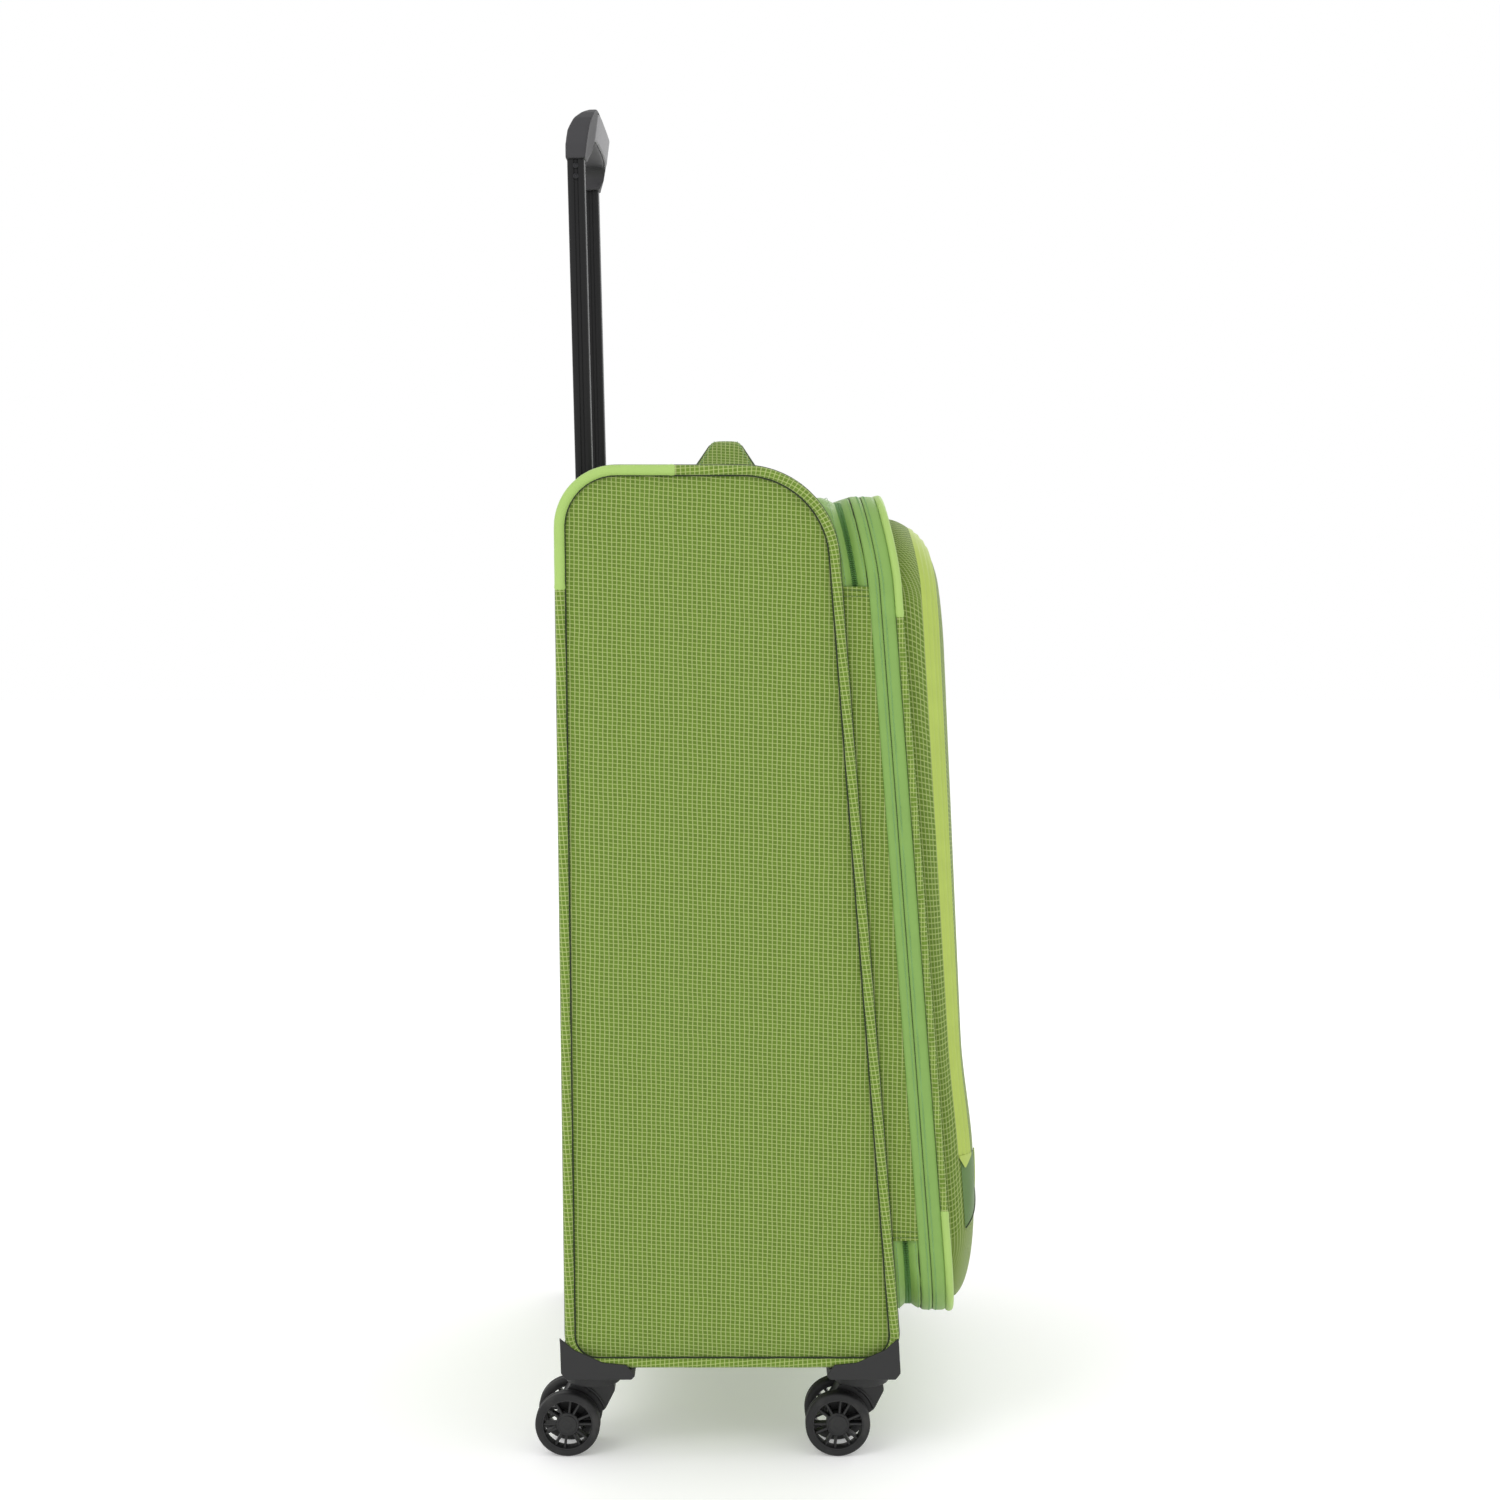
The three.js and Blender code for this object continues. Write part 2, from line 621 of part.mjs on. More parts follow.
// The grip as one arch: its side outline, bowed forward between its ends.
function gripArch(base, outerY, innerY) {
  const top = base + GRIP_HEIGHT;
  const profile = GRIP_PROFILE.map(([x, z]) => new THREE.Vector2(gripBack + x, base + z));
  const side = roundedOutline(profile, GRIP_PROFILE.map((corner) => corner[2]), 5);
  const front = GRIP_BOW.map(([share, x]) => [gripBack + x, share * outerY]);
  const mirrored = front.slice(0, -1).reverse().map(([x, y]) => [x, -y]);
  const behind = gripBack - GRIP_BEHIND;
  const plan = [...front, ...mirrored, [behind, -outerY], [behind, outerY]].reverse()
    .map(([x, y]) => new THREE.Vector2(x, y));
  const slant = [1, 0, 0, 0, 0, 1, 0, 0, GRIP_SLANT, 0, 1, 0, -GRIP_SLANT * top, 0, 0, 1];
  const bowed = prismZ(plan, base, top).transform(slant)
    .add(block(-FAR, gripBack + INNER_TUBE_DEEP, -outerY, outerY, base, top));
  const aboveTubes = roundedBox(-outerY, base + GAP, outerY, top, 1, 1);
  const rounded = roundedOutline(
    [[-outerY, base], [outerY, base], [outerY, top], [-outerY, top]].map(([y, z]) => new THREE.Vector2(y, z)),
    [1, 1, GRIP_CORNER, GRIP_CORNER],
  );
  const window = roundedBox(-innerY, base - 30, innerY, top - GRIP_BAR, 12, 5);
  return prismY(side, -outerY, outerY)
    .intersect(bowed)
    .intersect(prismX(aboveTubes, -FAR, FAR))
    .intersect(prismX(rounded, -FAR, FAR))
    .subtract(prismX(window, -FAR, FAR));
}

function buildTrolley() {
  const gripBase = bodyTop + TROLLEY_OUT;
  const gripTop = gripBase + GRIP_HEIGHT;
  const halfSpacing = TROLLEY_SPACING / 2;
  const shift = (body, y) => ontoTrolleyAxis(body.translate([0, y, 0]));
  const innerLow = bodyTop - TROLLEY_OVERLAP;

  const outerOutline = tubeOutline(outerDeep, outerWide, 0);
  const innerClear = tubeOutline(INNER_TUBE_DEEP + 2 * TUBE_CLEARANCE, INNER_TUBE_WIDE + 2 * TUBE_CLEARANCE, 0);
  const outerTube = prismZ(outerOutline, tubeBottom, tubeTop)
    .subtract(prismZ(innerClear, tubeBottom - 1, tubeTop + 1));
  const innerOutline = tubeOutline(INNER_TUBE_DEEP, INNER_TUBE_WIDE, GROOVE_DEPTH);
  const hollow = tubeOutline(INNER_TUBE_DEEP - 2 * INNER_TUBE_WALL, INNER_TUBE_WIDE - 2 * INNER_TUBE_WALL, 0);
  const innerTube = prismZ(innerOutline, innerLow, gripBase)
    .subtract(prismZ(hollow, innerLow - 1, gripBase + 1));
  [['hinge', -1], ['lock', 1]].forEach(([where, way]) => {
    addPiece(`outer_tube_${where}`, shift(outerTube, way * halfSpacing), 'steel');
    addPiece(`inner_tube_${where}`, shift(innerTube, way * halfSpacing), 'tube');
  });

  const tubeHole = prismZ(innerClear, bodyMiddle, bodyTop + FAR);
  const bezel = prismY(bodyOutline(-BEZEL_PROUD), -FAR, FAR, [bodyOutline(BEZEL_WALL)])
    .intersect(bezelRegion(0))
    .subtract(shift(tubeHole, -halfSpacing))
    .subtract(shift(tubeHole, halfSpacing));
  addPiece('trolley_bezel', bezel, 'black');

  const footHalf = halfSpacing + outerWide / 2 + FOOT_BORDER;
  const footDeep = outerDeep / 2 + FOOT_WALL;
  const socketTop = tubeBottom + FOOT_SOCKET;
  const foot = block(-footDeep, footDeep, -footHalf, footHalf, tubeBottom - FOOT_FLOOR, socketTop);
  const socket = prismZ(tubeOutline(outerDeep + 2 * GAP, outerWide + 2 * GAP, 0), tubeBottom - GAP, socketTop + 1);
  const middleCut = block(-FAR, FAR, -halfSpacing + outerWide, halfSpacing - outerWide, tubeBottom, socketTop + 1);
  const footSolid = foot
    .subtract(socket.translate([0, -halfSpacing, 0]))
    .subtract(socket.translate([0, halfSpacing, 0]))
    .subtract(middleCut);
  addPiece('trolley_foot', ontoTrolleyAxis(footSolid), 'black');

  const outerY = halfSpacing + INNER_TUBE_WIDE / 2 + GRIP_SIDE;
  const innerY = outerY - GRIP_BAR;
  const arch = gripArch(gripBase, outerY, innerY);
  const faceHalf = innerY - FACE_END;
  const faceRegion = (clear) => block(
    -FAR, FAR, -faceHalf - clear, faceHalf + clear, gripTop - GRIP_BAR - clear, gripTop - FACE_TOP_EDGE + clear,
  ).subtract(arch.translate([-FACE_WALL - clear, 0, 0])).intersect(block(0, FAR, -FAR, FAR, 0, FAR * 2));
  const buttonRegion = (clear, low) => block(
    BUTTON_FORWARD - BUTTON_WIDE / 2 - clear, BUTTON_FORWARD + BUTTON_WIDE / 2 + clear,
    -BUTTON_LENGTH / 2 - clear, BUTTON_LENGTH / 2 + clear, low, gripTop + BUTTON_DEPTH,
  );
  const buttonLow = gripTop - BUTTON_DEPTH;
  const buttonHole = buttonRegion(GAP, buttonLow - GAP - BUTTON_TRAVEL);
  const button = arch.translate([0, 0, BUTTON_PROUD]).intersect(buttonRegion(0, buttonLow));
  addPiece('grip_shell', ontoTrolleyAxis(arch.subtract(faceRegion(GAP)).subtract(buttonHole)), 'black');
  addPiece('grip_face', ontoTrolleyAxis(arch.intersect(faceRegion(0))), 'grey');
  addPiece('grip_button', ontoTrolleyAxis(button), 'grey');
}

// --- Carry handles ------------------------------------------------------------------------

// Padded strap standing on its two sewn ends, along y and rising in z from zero.
function handleSolid() {
  const half = HANDLE_LENGTH / 2;
  const inner = half - HANDLE_END_LENGTH;
  const top = HANDLE_RISE;
  const arch = [
    [-half, 0], [-inner, 0], [-inner + 12, top - HANDLE_THICK], [inner - 12, top - HANDLE_THICK], [inner, 0],
    [half, 0], [half, 3], [inner + 8, 5], [inner - 8, top], [-inner + 8, top], [-inner - 8, 5], [-half, 3],
  ].map(([y, z]) => new THREE.Vector2(y, z));
  const narrow = HANDLE_WIDTH / 2;
  const wide = HANDLE_END_WIDTH / 2;
  const plan = [
    [-wide, -half], [wide, -half], [wide, -inner - 4], [narrow, -inner + 14], [narrow, inner - 14],
    [wide, inner + 4], [wide, half], [-wide, half], [-wide, inner + 4], [-narrow, inner - 14],
    [-narrow, -inner + 14], [-wide, -inner - 4],
  ].map(([x, y]) => new THREE.Vector2(x, y));
  return prismX(arch, -wide, wide).intersect(prismZ(plan, -1, top + 1));
}

function buildHandles() {
  const handle = handleSolid();
  addPiece('top_handle', handle.translate([TOP_HANDLE_X, 0, bodyTop - WRAP_INSET + GAP]), 'fabric');
  const onSide = handle.rotate([-90, 0, 0]).translate([SIDE_HANDLE_X, side - PANEL_RECESS + GAP, bodyMiddle]);
  addPiece('side_handle', onSide, 'fabric');
}

// --- Lid ----------------------------------------------------------------------------------

const nearWall = -side + LID_SIDE_INSET + LID_CORNER;

function buildLid() {
  const body = prismY(bodyOutline(-GAP), -side - GAP, side + GAP);
  const cutLow = hingeLow - HINGE_CLEARANCE;
  const cutHigh = hingeHigh + HINGE_CLEARANCE;
  const hingeCut = block(-FAR, FAR, -FAR, nearWall, cutLow, cutHigh);
  const caseTape = levelSlab(-CORNER_TOP_FRONT / 2, caseTapeTop)
    .intersect(lidRing(TAPE_INSET, TAPE_INSET + TAPE_WALL))
    .subtract(body)
    .subtract(hingeCut);
  addPiece('zip_tape_case', caseTape, 'satin');
  const lidTape = lidBand(caseTapeTop + GAP, lidTapeTop, TAPE_INSET, TAPE_INSET + TAPE_WALL).subtract(hingeCut);
  addPiece('zip_tape_lid', lidTape, 'satin');

  const hingeRegion = block(-FAR, FAR, -FAR, nearWall, hingeLow, hingeHigh);
  const strip = lidBand(0, lidTapeTop, HINGE_INSET, HINGE_INSET + TAPE_WALL).subtract(body).intersect(hingeRegion);
  addPiece('hinge_strip', strip, 'fabric');

  addPiece('lid_rear_band', lidBand(lidTapeTop + GAP, rearBandTop, 0, LID_WALL), 'satin');
  const gussetInset = LID_WALL + GAP;
  addPiece('expansion_gusset', lidBand(lidTapeTop + 1, rearBandTop, gussetInset, gussetInset + GUSSET_WALL), 'fabric');
  addPiece('lid_front_band', lidBand(rearBandTop + GAP, frontBandTop, 0, LID_WALL), 'satin');
  const pipingFrom = frontBandTop + GAP;
  const pipingTo = frontBandTop + LID_PIPING;
  addPiece('lid_piping', lidBand(pipingFrom, pipingTo, -1, LID_PIPING - 1), 'piping');
  const panel = prismX(lidOutline(LID_PIPING - 1 + GAP), -FAR, FAR);
  addPiece('lid_panel', levelSlab(pipingFrom, pipingFrom + LID_PANEL).intersect(panel), 'fabric');
  const meshOutline = prismX(lidOutline(LID_WALL + MESH_CLEARANCE), -FAR, FAR);
  const meshFrom = frontBandTop - MESH_SETBACK;
  addPiece('lid_mesh_pocket', levelSlab(meshFrom, meshFrom + LINING_WALL).intersect(meshOutline), 'mesh');
}

// --- Pocket -------------------------------------------------------------------------------

const pocketBase = frontBandTop + GAP + LID_PANEL + 3 * GAP;

function pocketDepth(z) {
  const share = (z - lidBottom) / (lidTop - lidBottom);
  return POCKET_DEPTH_FOOT + (POCKET_DEPTH_TOP - POCKET_DEPTH_FOOT) * share;
}

// Outline of the pocket where its rounded edge has gone a share of the way inwards.
function pocketOutline(share, inset) {
  const half = side - LID_SIDE_INSET - POCKET_INSET_SIDE - POCKET_ROUND_SIDE * share - inset;
  const low = lidBottom + POCKET_INSET_FOOT + POCKET_ROUND_FOOT * share + inset;
  const high = lidTop - POCKET_INSET_TOP - POCKET_ROUND_TOP * share - inset;
  return roundedBox(-half, low, half, high, POCKET_CORNER - inset, 6);
}

// Bulging solid; a positive inset makes the smaller one that hollows it from behind.
function pocketSolid(inset) {
  const steps = 5;
  const ring = (share, rise) => pocketOutline(share, inset)
    .map((p) => new THREE.Vector3(levelX(pocketBase, p.y) + rise(p.y), p.x, p.y));
  const rings = inset > 0 ? [ring(0, () => -5)] : [];
  for (let k = 0; k <= steps; k += 1) {
    const angle = (k / steps) * (Math.PI / 2);
    rings.push(ring(1 - Math.cos(angle), (z) => (pocketDepth(z) - inset) * Math.sin(angle)));
  }
  rings.push(ring(1.6, (z) => pocketDepth(z) - inset + POCKET_CROWN));
  return loft(rings);
}

function buildPocket() {
  const shell = pocketSolid(0).subtract(pocketSolid(POCKET_WALL));
  const slab = (from, to, low) => {
    const heights = [low, bodyMiddle, hingeHigh, lidTop - LID_BEND_LENGTH / 2, lidTop + PIPING];
    const at = (share, z) => new THREE.Vector2(levelX(pocketBase, z) + pocketDepth(z) * share, z);
    const nearSide = heights.map((z) => at(from, z));
    const farSide = heights.map((z) => at(to, z));
    return prismY([...farSide, ...nearSide.reverse()], -side, side);
  };
  const past = 3;
  addPiece('pocket_body', shell.subtract(slab(ZIP_BAND_FROM, past, flapLow)), 'fabric');
  const bandFrom = ZIP_BAND_FROM + GAP / POCKET_DEPTH_FOOT;
  addPiece('pocket_zip_band', shell.intersect(slab(bandFrom, ZIP_BAND_TO, flapLow + GAP)), 'lime');
  const flapFrom = ZIP_BAND_TO + GAP / POCKET_DEPTH_FOOT;
  addPiece('pocket_flap', shell.intersect(slab(flapFrom, past, flapLow + GAP)), 'fabric');
}

// --- Lock and zip pulls -------------------------------------------------------------------

// Tab that lies flat and swings about a pin near its end, at the origin and half its thickness in.
function pullSolid() {
  const half = PULL_WIDTH / 2;
  const outline = roundedBox(-PULL_LENGTH, -half, PULL_END, half, half - 1, 4);
  const hole = roundedBox(-PULL_LENGTH / 3, -half / 2, -PULL_THICK, half / 2, 1, 2);
  const halfThick = PULL_THICK / 2;
  return prismY(outline, -halfThick, halfThick).subtract(prismY(hole, -PULL_THICK, PULL_THICK));
}

function buildLockAndPulls() {
  const lockFront = frontX(bodyMiddle) - LOCK_FROM_FRONT - PIPING;
  const lockX = lockFront - LOCK_WIDTH / 2;
  const face = side - PANEL_RECESS + GAP;
  const lockTopY = face + LOCK_HEIGHT;
  const half = LOCK_LENGTH / 2;
  const lockOutline = roundedBox(lockFront - LOCK_WIDTH, bodyMiddle - half, lockFront, bodyMiddle + half, 6, 4);
  const dialY = lockTopY - DIAL_RADIUS + 1.2;
  const dialX = lockX - 5;
  let lock = prismY(lockOutline, face, lockTopY);
  const dial = rodZ(DIAL_RADIUS, -DIAL_WIDTH / 2, DIAL_WIDTH / 2, 20);
  [-1, 0, 1].forEach((place, i) => {
    const z = bodyMiddle + place * DIAL_PITCH;
    const room = DIAL_RADIUS + GAP;
    lock = lock.subtract(rodZ(room, z - DIAL_WIDTH / 2 - GAP, z + DIAL_WIDTH / 2 + GAP, 20, dialX, dialY));
    const mesh = addPiece(`lock_dial_${i + 1}`, dial, 'steel');
    mesh.position.set(dialX, dialY, z);
  });
  const buttonZ = bodyMiddle + half - 14;
  const button = (clear, run) => block(
    dialX - 5 - clear, dialX + 5 + clear, lockTopY - 3 - clear, lockTopY + 1 + clear,
    buttonZ - 4 - clear - run, buttonZ + 4 + clear,
  );
  lock = lock.subtract(button(GAP, 4));
  addPiece('lock_release', button(0, 0), 'black');
  addPiece('lock_body', lock, 'black');

  const zipY = side - LID_SIDE_INSET;
  const pull = pullSolid();
  const addZipPull = (name, level, z) => {
    const x = levelX(level, z);
    const reach = SLIDER_SIZE / 2;
    const slider = block(x - reach, x + reach, zipY + GAP, zipY + SLIDER_HEIGHT, z - reach, z + reach);
    addPiece(`${name}_slider`, slider, 'black');
    const tab = addPiece(`${name}_pull`, pull, 'black');
    tab.position.set(x, zipY + SLIDER_HEIGHT + GAP + PULL_THICK / 2, z);
    tab.rotation.y = -Math.PI / 2;
  };
  const apart = PULL_LENGTH + SLIDER_SIZE / 2;
  addZipPull('main_upper', caseTapeTop, bodyMiddle + apart);
  addZipPull('main_lower', caseTapeTop, bodyMiddle - apart);
  addZipPull('expansion', rearBandTop, lidBottom + LID_CORNER + PULL_LENGTH);
}

buildBody();
buildCasters();
buildTrolley();
buildHandles();
buildLid();
buildPocket();
buildLockAndPulls();

// The origin is under the middle of the whole object, on the floor.
suitcase.updateMatrixWorld(true);
const box = new THREE.Box3().setFromObject(suitcase, true);
suitcase.position.set(-(box.min.x + box.max.x) / 2, -(box.min.y + box.max.y) / 2, -box.min.z);
suitcase.updateMatrixWorld(true);

export default suitcase;
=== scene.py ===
"""Looks of a soft-sided four-wheel suitcase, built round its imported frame."""

import math

import bmesh
import bpy
import numpy as np
from bpy.props import FloatProperty, FloatVectorProperty, PointerProperty
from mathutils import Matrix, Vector


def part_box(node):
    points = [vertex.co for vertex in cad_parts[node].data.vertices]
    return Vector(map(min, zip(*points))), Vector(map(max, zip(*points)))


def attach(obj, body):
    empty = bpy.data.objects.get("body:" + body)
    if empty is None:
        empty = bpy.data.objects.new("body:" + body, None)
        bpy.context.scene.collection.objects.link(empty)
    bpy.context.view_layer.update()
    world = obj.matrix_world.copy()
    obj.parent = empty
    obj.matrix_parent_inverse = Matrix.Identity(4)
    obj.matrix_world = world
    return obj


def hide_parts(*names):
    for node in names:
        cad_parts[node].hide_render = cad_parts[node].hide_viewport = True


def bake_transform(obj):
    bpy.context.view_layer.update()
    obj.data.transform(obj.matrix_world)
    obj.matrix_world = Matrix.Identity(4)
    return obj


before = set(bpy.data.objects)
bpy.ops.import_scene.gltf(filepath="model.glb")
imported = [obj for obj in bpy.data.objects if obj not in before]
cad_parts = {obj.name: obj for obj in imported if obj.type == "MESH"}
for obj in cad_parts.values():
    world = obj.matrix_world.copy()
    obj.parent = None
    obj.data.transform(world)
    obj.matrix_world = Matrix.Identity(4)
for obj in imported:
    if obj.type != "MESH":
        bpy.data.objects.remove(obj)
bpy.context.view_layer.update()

bl_info = {
    "name": "Soft Suitcase",
    "version": (1, 0, 0),
    "blender": (4, 5, 0),
    "location": "View3D > Sidebar > Suitcase",
    "description": "Builds the cloth, zips, wheels and handles of a soft-sided suitcase",
    "category": "Object",
}

# ---------------------------------------------------------------------------------------
# Sizes, in millimetres. Y is measured from the middle of the body, X from its own middle.

BODY_WIDTH = 490.0
BODY_HEIGHT = 714.0
BODY_DEPTH_FOOT = 273.0
BODY_DEPTH_TOP = 216.0
CORNER_TOP_BACK = 48.0
CORNER_TOP_FRONT = 75.0
CORNER_FOOT = 26.0
LID_SIDE_INSET = 8.0
LID_FOOT_RISE = 30.5
LID_TOP_DROP = 24.0
LID_CORNER = 60.0
LID_BEND = 8.0
LID_BEND_LENGTH = 68.0
POCKET_CORNER = 62.0
POCKET_DEPTH_FOOT = 26.0
POCKET_DEPTH_TOP = 37.0
WHEEL_RADIUS = 26.0
TROLLEY_LEAN = math.radians(1.2)
BACK_LEAN = 5.0

SIDE = BODY_WIDTH / 2
BACK_X = -BODY_DEPTH_FOOT / 2
SLOPE = (BODY_DEPTH_FOOT - BODY_DEPTH_TOP) / BODY_HEIGHT
BODY_BOTTOM = round(1000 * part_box("side_piping_hinge")[0].z, 3)
BODY_TOP = BODY_BOTTOM + BODY_HEIGHT
BODY_MIDDLE = (BODY_BOTTOM + BODY_TOP) / 2
LID_BOTTOM = BODY_BOTTOM + LID_FOOT_RISE
LID_TOP = BODY_TOP - LID_TOP_DROP
HINGE_LOW = LID_BOTTOM + 72
HINGE_HIGH = LID_TOP - 71
FLAP_LOW = LID_BOTTOM + 133.5
TROLLEY_X = BACK_X + 15

# From the body's own axes to the shared frame.
_piping_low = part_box("side_piping_hinge")[0]
_wrap_low, _wrap_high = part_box("body_wrap")
SHIFT = np.array([
    1000 * _piping_low.x - BACK_X,
    500 * (_wrap_low.y + _wrap_high.y),
    0.0,
])

# Where the satin sleeves end, as heights above the floor.
CORNER_SLEEVE_END = 690.0
SLEEVE_TOP = 670.0
SLEEVE_FOOT = 204.0

# How far the edge of the wrap lies inside the side panels, and the wall of the lining too.
WRAP_INSET = 5.4
LINING_INSET = 11.4
LINING_RISE = 6.7

AXIS_X = np.array([1.0, 0.0, 0.0])
AXIS_Y = np.array([0.0, 1.0, 0.0])
CORNER_NAMES = ("back_hinge", "back_lock", "front_hinge", "front_lock")
SIDES = (("hinge", -1), ("lock", 1))


def place(points):
    """Millimetres about the body to metres in the shared frame."""
    return (np.asarray(points, float) + SHIFT) / 1000


def node_box(name):
    """Lowest and highest corner of a CAD node, in millimetres about the body."""
    low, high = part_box(name)
    return np.array(low) * 1000 - SHIFT, np.array(high) * 1000 - SHIFT


def linear(red, green, blue):
    """A colour as a monitor shows it, 0 to 255, as linear light."""
    def one(value):
        value /= 255
        return value / 12.92 if value <= 0.04045 else ((value + 0.055) / 1.055) ** 2.4
    return one(red), one(green), one(blue)


# ---------------------------------------------------------------------------------------
# Settings that a user would change.


def length_setting(name, description, default):
    return FloatProperty(
        name=name, description=description, default=default, min=0, unit="LENGTH", precision=5,
    )


def colour_setting(name, description, default):
    return FloatVectorProperty(
        name=name, description=description, default=default, size=3, min=0, max=1, subtype="COLOR",
    )


class SuitcaseSizes(bpy.types.PropertyGroup):
    """Sizes of the cloth and its sewing"""

    column_pitch: length_setting("Column pitch", "Distance between the upright pale threads", 0.00366)
    row_pitch: length_setting("Row pitch", "Distance between the level pale threads", 0.0033)
    thread_width: length_setting("Thread width", "Width of a pale thread", 0.0008)
    stitch_length: length_setting("Stitch length", "Length of one stitch beside the zips", 0.0022)
    tooth_pitch: length_setting("Tooth pitch", "Distance between the zip teeth", 0.00145)
    panel_recess: length_setting("Panel recess", "How far the side panels fall away at their seam", 0.0045)


class SuitcaseColours(bpy.types.PropertyGroup):
    """Colours of the cloth, the plastic and the metal"""

    cloth: colour_setting("Cloth", "Green between the pale threads", linear(94, 120, 36))
    cloth_column: colour_setting("Upright threads", "Pale upright threads", linear(158, 171, 108))
    cloth_row: colour_setting("Level threads", "Pale level threads of the cloth", linear(152, 172, 92))
    satin: colour_setting("Satin", "Smooth bands and sleeves", linear(124, 162, 78))
    sleeve: colour_setting("Sleeve", "Light corner sleeves", linear(161, 193, 102))
    lime: colour_setting("Lime", "Zip band of the pocket", linear(168, 188, 84))
    leaf: colour_setting("Leaf panel", "Dark smooth panel beside the pocket", linear(84, 116, 56))
    plastic: colour_setting("Plastic", "Shoes, yokes and fittings", linear(25, 25, 26))
    grey: colour_setting("Grey plastic", "Face and button of the grip", linear(128, 127, 130))
    lining: colour_setting("Lining", "Cloth inside the case", linear(134, 137, 142))


# ---------------------------------------------------------------------------------------
# Shaders.


class Value:
    """A shader socket that takes part in sums."""

    def __init__(self, graph, node, output=0):
        self.graph = graph
        self.node = node
        self.socket = None if output is None else node.outputs[output]

    def out(self, output):
        return Value(self.graph, self.node, output)

    def math(self, operation, *others, first=None):
        values = [self, *others] if first is None else [first, self]
        return self.graph.add("ShaderNodeMath", {"operation": operation}, dict(enumerate(values)))

    def __add__(self, other):
        return self.math("ADD", other)

    def __radd__(self, other):
        return self.math("ADD", first=other)

    def __sub__(self, other):
        return self.math("SUBTRACT", other)

    def __rsub__(self, other):
        return self.math("SUBTRACT", first=other)

    def __mul__(self, other):
        return self.math("MULTIPLY", other)

    def __rmul__(self, other):
        return self.math("MULTIPLY", first=other)

    def __truediv__(self, other):
        return self.math("DIVIDE", other)

    def __rtruediv__(self, other):
        return self.math("DIVIDE", first=other)


class Graph:
    """The shader tree of one material."""

    def __init__(self, name):
        self.material = bpy.data.materials.new(name)
        self.material.use_nodes = True
        self.tree = self.material.node_tree
        self.tree.nodes.clear()

    def add(self, kind, settings=(), inputs=(), output=0):
        node = self.tree.nodes.new(kind)
        for key, value in dict(settings).items():
            if key == "stops":
                for stop in list(node.color_ramp.elements)[1:]:
                    node.color_ramp.elements.remove(stop)
                node.color_ramp.elements[0].position = value[0][0]
                node.color_ramp.elements[0].color = value[0][1]
                for position, colour in value[1:]:
                    node.color_ramp.elements.new(position).color = colour
            else:
                setattr(node, key, value)
        for key, value in dict(inputs).items():
            if isinstance(value, Value):
                self.tree.links.new(value.socket, node.inputs[key])
            elif hasattr(value, "__len__") and len(value) == 3 and node.inputs[key].type == "RGBA":
                node.inputs[key].default_value = (*value, 1)
            else:
                node.inputs[key].default_value = value
        return Value(self, node, output)

    def mix(self, factor, first, second):
        """Blends two colours."""
        return self.add("ShaderNodeMix", {"data_type": "RGBA"}, {0: factor, 6: first, 7: second}, output=2)

    def shade(self, colour, amount):
        """Makes a colour lighter or darker by a value about one."""
        return self.add("ShaderNodeVectorMath", {"operation": "SCALE"}, {0: colour, "Scale": amount})

    def step(self, value, low, high):
        """Smooth ramp from 0 at low to 1 at high."""
        return self.add(
            "ShaderNodeMapRange", {"interpolation_type": "SMOOTHSTEP"},
            {0: value, 1: low, 2: high, 3: 0.0, 4: 1.0},
        )

    def noise(self, scale, detail=2.0, vector=None, roughness=0.5):
        inputs = {"Scale": scale, "Detail": detail, "Roughness": roughness}
        if vector is not None:
            inputs["Vector"] = vector
        return self.add("ShaderNodeTexNoise", {}, inputs)

    def object_space(self):
        return self.add("ShaderNodeTexCoord", {}, {}, output="Object")

    def cloth_space(self):
        """Millimetres along and across the cloth, and the vector of both."""
        both = self.add("ShaderNodeAttribute", {"attribute_name": "weave"}, {}, output="Vector")
        apart = self.add("ShaderNodeSeparateXYZ", {}, {0: both})
        return apart.out("X"), apart.out("Y"), both

    def finish(self, colour, roughness, height=None, depth=0.0002, strength=0.6, extra=(), **linked):
        """Ends the tree in one surface. Extra holds the values that are the same all over."""
        inputs = {"Base Color": colour, "Roughness": roughness, **dict(extra)}
        for key, value in linked.items():
            inputs[key.replace("_", " ").title()] = value
        if height is not None:
            inputs["Normal"] = self.add(
                "ShaderNodeBump", {}, {"Strength": strength, "Distance": depth, "Height": height},
            )
        surface = self.add("ShaderNodeBsdfPrincipled", {}, inputs)
        self.add("ShaderNodeOutputMaterial", {}, {"Surface": surface}, output=None)
        return self.material


